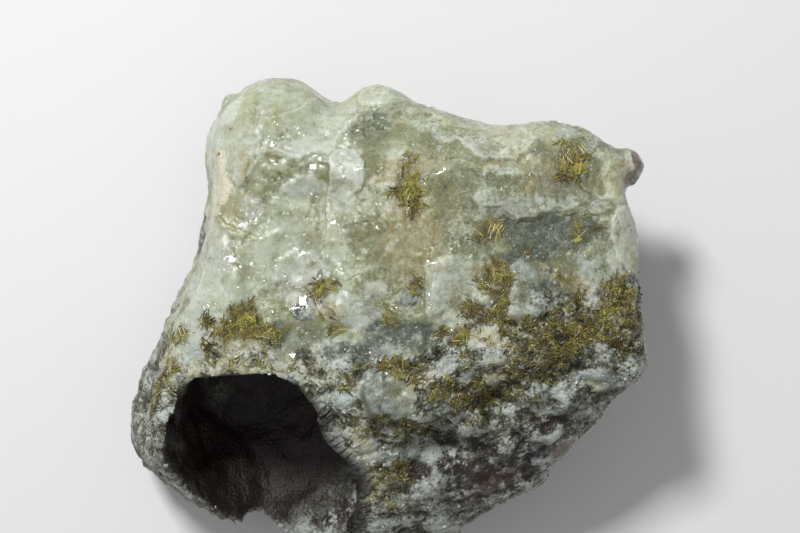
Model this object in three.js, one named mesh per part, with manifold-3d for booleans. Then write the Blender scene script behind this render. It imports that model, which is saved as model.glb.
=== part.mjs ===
// Raw prehnite with epidote: one broken lump of pale green prehnite on grey, epidote-rich matrix.
// It lies on its broken back with its best face up. Millimetres, +X along the stone, +Y across it,
// +Z up from the surface that it rests on, and the origin below the middle of its outline.
//
// The stone is one solid. A field says how far a point lies outside the broken lump, and each vertex
// of a fine icosahedron is moved along its own direction to where that field is zero. The knobs of
// the skin and the epidote blades are then joined on, and the vug is cut out.

import * as THREE from "three";
import { ImprovedNoise } from "three/addons/math/ImprovedNoise.js";
import { mergeVertices } from "three/addons/utils/BufferGeometryUtils.js";
import Module from "manifold-3d";

// Driving dimensions.
const CROWN_HEIGHT = 43; // the highest part of the front face, above the resting surface
const HEART = new THREE.Vector3(5, 0, 20); // a point well inside, from which every outer surface is seen
const SKIN_DETAIL = 16; // the icosahedron's subdivision: 20 * (16 + 1)^2 triangles
const SKIN_LIFT = 0.3; // how strongly the skin's vertices crowd towards the front face
const EDGE_ROUNDING = 2.2; // how softly the side turns into the front face
const FACET_ROUNDING = 4; // how softly the facets of the front face meet
const OUTER_REACH = 66; // no part of the stone lies further than this from its heart
const MARCH_STEP = 0.8; // step of the search for the surface
const RESTING_SNAP = 0.3; // what ends this close above the resting plane lies on it
const LEDGE_WIDTH = 0.5; // half the width over which a ledge drops
const SWELLING_ROUNDING = 2; // how softly a swelling of the skin grows out of the lump
const NODULE_ROUNDING = 0.8; // how softly a nodule does
const NODULE_DEPTH = 0.5; // how far a nodule's middle lies under the surface, as a share of its half width
const KNOB_DETAIL = 3; // the subdivision of a knob's icosahedron

// The outline seen from above, anticlockwise from the right-hand corner.
const OUTLINE = [
  [42.2, -5.5], [41.6, -1.5], [40.4, 2.5], [40.0, 7.5], [40.3, 12], [39.8, 17.5], [38.4, 20.6],
  [38.6, 23.4], [38.4, 26], [36, 28.2], [31.5, 30], [26, 31.5], [20.5, 31.2], [15.6, 32.2],
  [11.5, 33.2], [7.5, 33.8], [3.6, 34.6], [0, 34.8], [-4, 34.4], [-7.6, 34], [-11.6, 36], [-17, 37.8],
  [-21.6, 36], [-24.6, 35.2], [-27, 32], [-28.7, 27.8], [-29.2, 21.5], [-30.4, 15.5], [-31.6, 9.5],
  [-34.6, 2.5], [-37.2, -3.6], [-39.6, -9.2], [-42, -13.4], [-41.4, -18.5], [-38, -25],
  [-31.5, -30.6], [-22.5, -35.2], [-11, -37.8], [0, -38.4], [10, -36.6], [17, -32.8], [24, -28.6],
  [29, -23.4], [32.4, -18.8], [35.4, -15.8], [37.4, -12.2], [41, -9.2],
];

// Round the heart: where the side stands out furthest, and how far it steps in at foot and rim.
const SIDES = [
  { at: 0, girdle: 31, foot: 9, rim: 3 }, // right
  { at: 30, girdle: 30, foot: 8, rim: 4 },
  { at: 60, girdle: 30, foot: 9, rim: 5 },
  { at: 90, girdle: 28, foot: 7, rim: 5 }, // far side
  { at: 120, girdle: 28, foot: 6, rim: 7 },
  { at: 136, girdle: 17, foot: 4, rim: 7 },
  { at: 152, girdle: 10, foot: 2, rim: 5.5 },
  { at: 180, girdle: 9, foot: 2, rim: 6 }, // left
  { at: 200, girdle: 12, foot: 4, rim: 8 },
  { at: 222, girdle: 12, foot: 5, rim: 12 },
  { at: 250, girdle: 11, foot: 5, rim: 12 },
  { at: 280, girdle: 12, foot: 6, rim: 10 }, // near side
  { at: 306, girdle: 16, foot: 7, rim: 8 },
  { at: 330, girdle: 23, foot: 9, rim: 6 },
  { at: 346, girdle: 28, foot: 9, rim: 4 },
];

// The fracture facets of the front face: a point on each, the direction it falls towards and its dip.
const FACETS = [
  { name: "crown", on: [7, 10, CROWN_HEIGHT], towards: 90, dip: 1 },
  { name: "left prehnite", on: [-3, 10, 42.2], towards: 172, dip: 9 },
  { name: "right prehnite", on: [16, 10, 42.2], towards: 0, dip: 10 },
  { name: "far rim", on: [4, 27, 40.5], towards: 90, dip: 34 },
  { name: "far left rim", on: [-16, 27, 38], towards: 108, dip: 40 },
  { name: "far right rim", on: [28, 26, 38.5], towards: 62, dip: 38 },
  { name: "spur", on: [-24, -3, 39.8], towards: 214, dip: 21 },
  { name: "near right matrix", on: [24, -9, 39.5], towards: 292, dip: 47 },
  { name: "near matrix", on: [6, -16, 40], towards: 266, dip: 43 },
];

// Shell-shaped chips out of the front face: middle, half width and depth.
const CHIPS = [
  { at: [-11.5, 19.5], half: 6.5, deep: 1.7 },
  { at: [-16, 9], half: 8, deep: 1.1 },
  { at: [2, 8], half: 5.5, deep: 0.8 },
  { at: [26, 12], half: 8.5, deep: 1.1 },
  { at: [12, 18], half: 6, deep: 1.1 },
  { at: [33, 22], half: 5, deep: 1 },
  { at: [-22, 17], half: 6, deep: 0.9 },
  { at: [13, 4], half: 4.5, deep: 0.7 },
  { at: [-3, -3], half: 6, deep: 0.7 },
  { at: [16, -12], half: 4, deep: 1.1 },
  { at: [19, -15.5], half: 4.5, deep: 1.6 },
  { at: [10, -23], half: 5, deep: 1.5 },
];

// Scoops out of the side walls: direction round the heart, height, half width and depth.
const SCOOPS = [
  { towards: 356, height: 13, half: 13, deep: 2.8 },
  { towards: 22, height: 17, half: 9, deep: 1.9 },
  { towards: 335, height: 9, half: 8, deep: 2 },
  { towards: 72, height: 12, half: 13, deep: 2.8 },
  { towards: 100, height: 11, half: 9, deep: 2.2 },
  { towards: 50, height: 19, half: 8, deep: 1.6 },
  { towards: 163, height: 26, half: 9, deep: 1.5 },
  { towards: 186, height: 27, half: 7, deep: 1.2 },
  { towards: 236, height: 7, half: 7, deep: 1.5 },
  { towards: 262, height: 8, half: 9, deep: 2 },
  { towards: 298, height: 8, half: 10, deep: 2.4 },
];

// Ledges of the broken face. Each line's left-hand side stands proud by rise and fades back over fade.
const LEDGES = [
  { line: [[-8, 26.4], [-11, 24.9], [-14, 24.6], [-17, 26.1], [-19, 28]], rise: 1.5, fade: 5 },
  {
    line: [[24.6, 29.5], [23.4, 27], [20.3, 24.6], [16.8, 24.6], [13, 26.9], [9, 28.8]],
    rise: 1.9,
    fade: 7,
  },
  { line: [[-8.6, 10.5], [-8.2, 14.4], [-8.7, 17], [-8.1, 20], [-8, 26]].reverse(), rise: 1.2, fade: 5 },
  { line: [[-2.4, 26], [-2, 22.5], [-4.7, 19.2], [-8, 18]].reverse(), rise: 0.8, fade: 5 },
  { line: [[6.4, 11.5], [6.6, 7], [6.8, 3], [7, -1]], rise: 1.3, fade: 5 },
  { line: [[31, 18], [26.5, 17], [21, 16], [15.5, 17.8], [12, 18.6]], rise: 1, fade: 5 },
  { line: [[39, 18.5], [34, 18.3], [29.5, 20.4], [25, 22.5]], rise: 1, fade: 5 },
  { line: [[-24, 29], [-20, 26], [-20.6, 22], [-23.5, 18.5]].reverse(), rise: 0.9, fade: 4 },
];

// Rounded swellings of the prehnite skin along the far edge: middle, half widths.
const SWELLINGS = [
  { name: "far left boss", at: [-17, 29.5, 28.5], radii: [9.5, 8.6, 10] },
  { name: "far lobe", at: [-0.4, 33.4, 27], radii: [5, 4.4, 6] },
];

// Small knobs that stand out on their own.
const KNOBS = [
  { name: "far left rib", at: [-23.9, 33.6, 19], radii: [2.4, 3.4, 7] },
  { name: "brown nub", at: [38.3, 24.6, 29], radii: [3, 2.8, 4.6] },
  { name: "corner lobe", at: [37.4, -6.4, 31], radii: [4.2, 4, 4.6] },
];

// Nodules of the matrix: their place seen from above and their half width.
const NODULES = [
  [34.2, -7, 2.6], [29, -11.6, 3], [23.5, -10.8, 2.6], [25.5, -17.6, 3.5], [19.4, -20.2, 2.6],
  [13, -21.6, 2.7], [14, -14.5, 3.2], [9, -22.6, 2.4], [7.6, -26, 2.6], [5.4, -28.4, 2.4],
  [17.6, -26.8, 2.2], [-0.2, -11.6, 3], [31.5, -16.4, 2.6], [12.4, -29.4, 2.6],
];

// Sprays of epidote: middle, how far the blades scatter, and how many there are.
const SPRAYS = [
  { at: [4.5, 21.8], spread: 4, blades: 5 }, { at: [29.2, 24.9], spread: 2, blades: 3 },
  { at: [16.9, 13.6], spread: 2, blades: 3 }, { at: [18.9, 6], spread: 2.5, blades: 4 },
  { at: [29.6, 12.9], spread: 1, blades: 2 }, { at: [-9, 5.7], spread: 1.8, blades: 3 },
  { at: [-21.6, 0.2], spread: 5, blades: 5 }, { at: [-31.5, -6.5], spread: 3, blades: 3 },
  { at: [14.5, -2], spread: 3, blades: 3 }, { at: [22, -1.3], spread: 4, blades: 4 },
  { at: [29, -1.3], spread: 4, blades: 4 }, { at: [34.4, 2.4], spread: 3, blades: 3 },
  { at: [4.8, -7.8], spread: 3, blades: 3 }, { at: [11, -10], spread: 4, blades: 3 },
];
const BLADE_LENGTH = [3.2, 5.6]; // shortest and longest
const BLADE_WIDTH = 0.5; // half the width at its foot
const BLADE_SIDES = 5;

// The vug: its mouth seen from above, clockwise from its upper left, with the near side broken through.
const VUG_HEART = new THREE.Vector3(-17.5, -21.5, 26);
const VUG_MOUTH = [
  [-29.4, -9], [-24.2, -8.7], [-20.5, -7.8], [-16.1, -8.2], [-13.2, -9.4], [-10.6, -11.2],
  [-7.8, -14], [-7, -17], [-4.7, -20.7], [-2.4, -24.4], [-1.9, -28], [-3, -32], [-8, -37],
  [-16, -41], [-27, -40], [-36, -32], [-37.5, -24], [-34.5, -16], [-32, -11.5],
];
const VUG_LIP = 37; // height of the lip over which the walls undercut
const VUG_FLOOR = 8; // lowest part of the floor
const VUG_TOP = 52; // well above the face, where the cut ends
const VUG_DETAIL = 8;

const noise = new ImprovedNoise();
const radians = THREE.MathUtils.degToRad;

// Smooth maximum of two distances, rounded over k.
function smoothMax(a, b, k) {
  const blend = Math.max(k - Math.abs(a - b), 0) / k;
  return Math.max(a, b) + (blend * blend * k) / 4;
}

const smoothMin = (a, b, k) => -smoothMax(-a, -b, k);

// How far a closed outline reaches from a point inside it, as a function of the direction.
function reachOf(outline, centre) {
  const steps = 720;
  const corners = outline.map(([x, y]) => new THREE.Vector3(x, y, 0));
  const curve = new THREE.CatmullRomCurve3(corners, true, "centripetal");
  const polar = curve.getPoints(steps * 2).map((p) => {
    const x = p.x - centre.x;
    const y = p.y - centre.y;
    return { angle: Math.atan2(y, x), reach: Math.hypot(x, y) };
  });
  polar.sort((a, b) => a.angle - b.angle);
  const table = [];
  let next = 0;
  for (let i = 0; i < steps; i++) {
    const angle = -Math.PI + (i * 2 * Math.PI) / steps;
    while (next < polar.length - 1 && polar[next].angle < angle) next++;
    table.push(polar[next].reach);
  }
  return (angle) => {
    const place = ((angle + Math.PI) / (2 * Math.PI)) * steps;
    const low = Math.floor(place);
    const a = table[low % steps];
    const b = table[(low + 1) % steps];
    return a + (b - a) * (place - low);
  };
}

const stoneReach = reachOf(OUTLINE, HEART);
const mouthReach = reachOf(VUG_MOUTH, VUG_HEART);

// The side's girdle, foot and rim in a direction round the heart, eased between the listed ones.
function sideAt(angle) {
  const turn = (THREE.MathUtils.radToDeg(angle) + 360) % 360;
  const next = SIDES.findIndex((s) => s.at > turn);
  const b = SIDES[next < 0 ? 0 : next];
  const a = SIDES[next < 0 ? SIDES.length - 1 : (next + SIDES.length - 1) % SIDES.length];
  const span = (b.at - a.at + 360) % 360;
  const share = THREE.MathUtils.smoothstep(((turn - a.at + 360) % 360) / span, 0, 1);
  const mix = (key) => a[key] + (b[key] - a[key]) * share;
  return { girdle: mix("girdle"), foot: mix("foot"), rim: mix("rim") };
}

// Horizontal distance outside the side wall.
function sideDistance(p) {
  const x = p.x - HEART.x;
  const y = p.y - HEART.y;
  const angle = Math.atan2(y, x);
  const { girdle, foot, rim } = sideAt(angle);
  const above = Math.max(p.z - girdle, 0) / (CROWN_HEIGHT - girdle);
  const below = Math.max(girdle - p.z, 0) / girdle;
  const inset = rim * above ** 1.4 + foot * below ** 1.8;
  return Math.hypot(x, y) - stoneReach(angle) + inset;
}

// The height of one fracture facet over a place on the stone.
function facetHeight({ on: [fx, fy, fz], towards, dip }, x, y) {
  const turn = radians(towards);
  const away = (x - fx) * Math.cos(turn) + (y - fy) * Math.sin(turn);
  return fz - away * Math.tan(radians(dip));
}

// How much a ledge adds to the face: all of its rise just beside the line, on the line's left.
function ledgeRise({ line, rise, fade }, x, y) {
  let nearest = { distance: Infinity };
  for (let i = 0; i + 1 < line.length; i++) {
    const [ax, ay] = line[i];
    const dx = line[i + 1][0] - ax;
    const dy = line[i + 1][1] - ay;
    const along = THREE.MathUtils.clamp(((x - ax) * dx + (y - ay) * dy) / (dx * dx + dy * dy), 0, 1);
    const distance = Math.hypot(x - ax - along * dx, y - ay - along * dy);
    if (distance < nearest.distance) {
      const left = dx * (y - ay) - dy * (x - ax) > 0;
      nearest = { distance, left, along: (i + along) / (line.length - 1) };
    }
  }
  const signed = nearest.left ? nearest.distance : -nearest.distance;
  const proud = THREE.MathUtils.smoothstep(signed, -LEDGE_WIDTH, LEDGE_WIDTH);
  const taper = Math.min(1, 5 * nearest.along, 5 * (1 - nearest.along));
  return rise * taper * proud * Math.exp(-Math.max(signed, 0) / fade);
}

// Height of the front face: the lowest of its facets, with the ledges on it.
function faceHeight(x, y) {
  const facets = FACETS.map((facet) => facetHeight(facet, x, y));
  const height = facets.reduce((a, b) => smoothMin(a, b, FACET_ROUNDING));
  return LEDGES.reduce((sum, ledge) => sum + ledgeRise(ledge, x, y), height);
}

// A chip is a ball that bites into the face: its centre and radius follow from its width and depth.
const CHIP_BALLS = CHIPS.map(({ at: [x, y], half, deep }) => {
  const radius = (half * half + deep * deep) / (2 * deep);
  return { centre: new THREE.Vector3(x, y, faceHeight(x, y) - deep + radius), radius };
});

// Unevenness of the broken surface, in millimetres, coarse to fine.
function unevenness(p) {
  const coarse = noise.noise(p.x / 19 + 3.1, p.y / 19 + 7.7, p.z / 19 + 1.3);
  const middle = noise.noise(p.x / 8.5 + 11.2, p.y / 8.5 + 2.4, p.z / 8.5 + 5.9);
  const fine = noise.noise(p.x / 4.2 + 6.5, p.y / 4.2 + 9.1, p.z / 4.2 + 3.7);
  return 1.3 * coarse + 0.8 * middle + 0.5 * fine;
}

// The broken back: it touches the resting plane in broad patches and lifts off between them.
function backHeight(x, y) {
  const middle = THREE.MathUtils.smoothstep(Math.hypot(x - 2, y + 2), 9, 17);
  return Math.max(3.6 * noise.noise(x / 15 + 1.7, y / 15 + 4.9, 8.3) + 0.2, 0) * middle;
}

// Distance outside an ellipsoid, near enough for blending.
function ellipsoidDistance(p, { at, radii }) {
  const scaled = Math.hypot((p.x - at[0]) / radii[0], (p.y - at[1]) / radii[1], (p.z - at[2]) / radii[2]);
  return (scaled - 1) * Math.min(...radii);
}

// The side walls are roughest below their widest part.
function wallField(p) {
  const roughness = THREE.MathUtils.mapLinear(THREE.MathUtils.clamp(p.z, 8, 28), 8, 28, 1.3, 0.55);
  return sideDistance(p) - roughness * unevenness(p);
}

// A scoop is such a ball too, set level with the wall that it bites into.
const SCOOP_BALLS = SCOOPS.map(({ towards, height, half, deep }) => {
  const radius = (half * half + deep * deep) / (2 * deep);
  const axis = new THREE.Vector3(HEART.x, HEART.y, height);
  const out = new THREE.Vector3(Math.cos(radians(towards)), Math.sin(radians(towards)), 0);
  const wall = surfacePoint(axis, out, wallField, OUTER_REACH);
  return { centre: wall.addScaledVector(out, radius - deep), radius };
});

// How far a point lies outside the stone without its nodules: negative inside.
function lumpField(p) {
  const rough = unevenness(p);
  const side = wallField(p);
  const face = (p.z - faceHeight(p.x, p.y)) * 0.92 - rough;
  let field = smoothMax(side, face, EDGE_ROUNDING);
  for (const swelling of SWELLINGS) {
    field = smoothMin(field, ellipsoidDistance(p, swelling) - 0.4 * rough, SWELLING_ROUNDING);
  }
  for (const { centre, radius } of [...CHIP_BALLS, ...SCOOP_BALLS]) {
    field = Math.max(field, radius - 0.5 * rough - p.distanceTo(centre));
  }
  return Math.max(field, backHeight(p.x, p.y) - p.z);
}

// Where a ray leaves a body, searched from outside inwards.
function surfacePoint(heart, direction, field, reach) {
  const p = new THREE.Vector3();
  const at = (t) => field(p.copy(direction).multiplyScalar(t).add(heart));
  let outer = reach;
  let inner = outer - MARCH_STEP;
  while (inner > 0 && at(inner) > 0) {
    outer = inner;
    inner -= MARCH_STEP;
  }
  for (let i = 0; i < 14; i++) {
    const middle = (inner + outer) / 2;
    if (at(middle) > 0) outer = middle;
    else inner = middle;
  }
  at(inner);
  return p;
}

// A sphere-like geometry whose vertices are placed by a function of their direction.
function moulded(detail, place) {
  const ball = new THREE.IcosahedronGeometry(1, detail);
  ball.deleteAttribute("normal");
  ball.deleteAttribute("uv");
  const geometry = mergeVertices(ball, 1e-4);
  const position = geometry.getAttribute("position");
  const direction = new THREE.Vector3();
  for (let i = 0; i < position.count; i++) {
    direction.fromBufferAttribute(position, i).normalize();
    const p = place(direction);
    position.setXYZ(i, p.x, p.y, p.z);
  }
  return geometry;
}

// The surface below a point seen from above, and the way that it faces there.
function skinAt(x, y, field) {
  const start = new THREE.Vector3(x, y, 0);
  const up = new THREE.Vector3(0, 0, 1);
  const point = surfacePoint(start, up, field, OUTER_REACH).clone();
  const step = 0.8;
  const slope = (dx, dy, dz) => field(new THREE.Vector3(x + dx, y + dy, point.z + dz));
  const normal = new THREE.Vector3(
    slope(step, 0, 0) - slope(-step, 0, 0),
    slope(0, step, 0) - slope(0, -step, 0),
    slope(0, 0, step) - slope(0, 0, -step),
  ).normalize();
  return { point, normal };
}

// The nodules stand half out of the lump.
const NODULE_BALLS = NODULES.map(([x, y, half]) => {
  const { point, normal } = skinAt(x, y, lumpField);
  const centre = point.addScaledVector(normal, -NODULE_DEPTH * half);
  return { at: centre.toArray(), radii: [half, half, half] };
});

// How far a point lies outside the whole stone, its vug and blades apart.
function stoneField(p) {
  return NODULE_BALLS.reduce(
    (field, ball) => smoothMin(field, ellipsoidDistance(p, ball), NODULE_ROUNDING),
    lumpField(p),
  );
}

function bodyGeometry() {
  return moulded(SKIN_DETAIL, (direction) => {
    direction.z += SKIN_LIFT;
    const p = surfacePoint(HEART, direction.normalize(), stoneField, OUTER_REACH);
    if (p.z < RESTING_SNAP) p.z = 0;
    return p;
  });
}

// A rounded lump with a slightly uneven skin.
function lumpGeometry({ at, radii }) {
  const centre = new THREE.Vector3(...at);
  const size = new THREE.Vector3(...radii);
  return moulded(KNOB_DETAIL, (direction) => {
    const p = direction.clone().multiply(size).add(centre);
    const uneven = 1 + 0.22 * noise.noise(p.x / 3 + 9.4, p.y / 3 + 1.2, p.z / 3 + 6.6);
    return direction.multiply(size).multiplyScalar(uneven).add(centre);
  });
}

// Repeatable pseudo-random numbers from 0 to 1.
function seeded(seed) {
  let state = seed;
  return () => {
    state = (state * 1664525 + 1013904223) % 4294967296;
    return state / 4294967296;
  };
}

// A blade of epidote: a flattened prism along Y, narrower at its free end.
function bladeGeometry(length) {
  const blade = new THREE.CylinderGeometry(BLADE_WIDTH * 0.6, BLADE_WIDTH, length, BLADE_SIDES);
  blade.translate(0, length / 2, 0);
  blade.scale(1, 1, 0.8);
  blade.deleteAttribute("normal");
  blade.deleteAttribute("uv");
  return mergeVertices(blade, 1e-4);
}

// The blades of one spray fan out along the face and lift a little out of it at their free end.
function sprayGeometries({ at: [x, y], spread, blades }, random) {
  const list = [];
  for (let i = 0; i < blades; i++) {
    const turn = ((i + random()) / blades) * 2 * Math.PI;
    const out = spread * random();
    const { point, normal } = skinAt(x + out * Math.cos(turn), y + out * Math.sin(turn), stoneField);
    const aim = turn + 1.4 * (random() - 0.5);
    const axis = new THREE.Vector3(Math.cos(aim), Math.sin(aim), 0).projectOnPlane(normal).normalize();
    axis.addScaledVector(normal, 0.05 + 0.15 * random()).normalize();
    point.addScaledVector(normal, -0.3 * BLADE_WIDTH);
    const side = new THREE.Vector3().crossVectors(axis, normal).normalize();
    const up = new THREE.Vector3().crossVectors(side, axis);
    const length = BLADE_LENGTH[0] + (BLADE_LENGTH[1] - BLADE_LENGTH[0]) * random();
    const blade = bladeGeometry(length);
    blade.applyMatrix4(new THREE.Matrix4().makeBasis(side, axis, up).setPosition(point));
    list.push(blade);
  }
  return list;
}

// How far a point lies outside the vug's empty space.
function vugField(p) {
  const x = p.x - VUG_HEART.x;
  const y = p.y - VUG_HEART.y;
  const angle = Math.atan2(y, x);
  const depth = THREE.MathUtils.clamp((VUG_LIP - p.z) / (VUG_LIP - VUG_FLOOR), 0, 1);
  const undercut = 4 * Math.sin(depth * Math.PI) * Math.max(0, Math.sin(angle + 0.5));
  const slope = 13 * depth * Math.max(0, -Math.cos(angle - 0.6)) ** 2;
  const wall = Math.hypot(x, y) - mouthReach(angle) - undercut + slope;
  const field = smoothMax(wall, VUG_FLOOR - p.z, 9);
  const lumps = noise.noise(p.x / 6 + 4.4, p.y / 6 + 8.2, p.z / 6 + 2.6);
  const grains = noise.noise(p.x / 3 + 2.1, p.y / 3 + 5.3, p.z / 3 + 7.9);
  return Math.max(field - 1.5 * lumps - 0.7 * grains, p.z - VUG_TOP);
}

function vugGeometry() {
  return moulded(VUG_DETAIL, (direction) => surfacePoint(VUG_HEART, direction, vugField, OUTER_REACH));
}

const wasm = await Module();
wasm.setup();

function solidOf(geometry) {
  const mesh = new wasm.Mesh({
    numProp: 3,
    vertProperties: new Float32Array(geometry.getAttribute("position").array),
    triVerts: new Uint32Array(geometry.index.array),
  });
  return new wasm.Manifold(mesh);
}

function geometryOf(solid) {
  const { vertProperties, triVerts } = solid.getMesh();
  const geometry = new THREE.BufferGeometry();
  geometry.setAttribute("position", new THREE.BufferAttribute(vertProperties, 3));
  geometry.setIndex(new THREE.BufferAttribute(triVerts, 1));
  return geometry;
}

// Moves the stone so that it rests on z = 0 with the origin below the middle of its box.
function centred(geometry) {
  geometry.computeBoundingBox();
  const middle = geometry.boundingBox.getCenter(new THREE.Vector3());
  geometry.translate(-middle.x, -middle.y, -geometry.boundingBox.min.z);
  geometry.computeVertexNormals();
  return geometry;
}

function stoneGeometry() {
  const random = seeded(11);
  const added = [
    ...KNOBS.map((knob) => lumpGeometry(knob)),
    ...SPRAYS.flatMap((spray) => sprayGeometries(spray, random)),
  ];
  let stone = solidOf(bodyGeometry());
  for (const geometry of added) stone = stone.add(solidOf(geometry));
  return centred(geometryOf(stone.subtract(solidOf(vugGeometry()))));
}

const material = new THREE.MeshStandardMaterial({ color: 0xa9b59b, roughness: 0.35, metalness: 0 });
const stone = new THREE.Mesh(stoneGeometry(), material);
stone.name = "prehnite_stone";

const part = new THREE.Group();
part.add(stone);

export default part;
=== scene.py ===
"""Raw prehnite with epidote: the finish of a broken green prehnite lump and the studio that shows it.

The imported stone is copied, remeshed, carved into scallops, flakes, ledges and nodules, and painted by
values stored on its skin. Blades of epidote and grains of matrix are joined meshes that sit on it.
Lengths in the tables and the carving are in millimetres; everything handed to Blender is in metres.
"""

import math

import bpy
import numpy as np
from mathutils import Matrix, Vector
from mathutils.kdtree import KDTree


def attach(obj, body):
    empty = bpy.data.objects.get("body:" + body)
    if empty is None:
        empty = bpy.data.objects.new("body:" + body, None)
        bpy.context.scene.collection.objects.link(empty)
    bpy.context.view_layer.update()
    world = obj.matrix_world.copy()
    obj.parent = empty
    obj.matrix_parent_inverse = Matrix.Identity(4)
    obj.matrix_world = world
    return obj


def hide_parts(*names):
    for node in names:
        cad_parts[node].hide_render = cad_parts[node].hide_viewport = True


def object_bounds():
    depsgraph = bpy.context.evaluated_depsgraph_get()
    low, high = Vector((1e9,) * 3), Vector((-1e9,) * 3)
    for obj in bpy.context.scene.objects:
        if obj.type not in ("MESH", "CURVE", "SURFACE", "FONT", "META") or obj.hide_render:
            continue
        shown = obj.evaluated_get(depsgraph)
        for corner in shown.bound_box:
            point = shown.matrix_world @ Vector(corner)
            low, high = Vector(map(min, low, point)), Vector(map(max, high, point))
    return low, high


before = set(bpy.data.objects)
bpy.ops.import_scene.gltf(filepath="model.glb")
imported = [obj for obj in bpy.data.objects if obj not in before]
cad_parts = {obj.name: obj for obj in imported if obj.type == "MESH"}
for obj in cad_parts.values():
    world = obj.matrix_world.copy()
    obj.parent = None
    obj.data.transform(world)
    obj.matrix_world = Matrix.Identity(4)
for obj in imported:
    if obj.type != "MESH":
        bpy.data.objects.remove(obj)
CAD_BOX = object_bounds()

bl_info = {
    "name": "Raw prehnite with epidote",
    "version": (1, 0, 0),
    "blender": (4, 5, 0),
    "location": "3D View > Sidebar > Specimen",
    "description": "Builds the skin, crystals and studio of a raw prehnite specimen with epidote",
    "category": "Object",
}

MM = 0.001
MID_GREY = (0.5, 0.5, 0.5)
NODE = "prehnite_stone"

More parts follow.
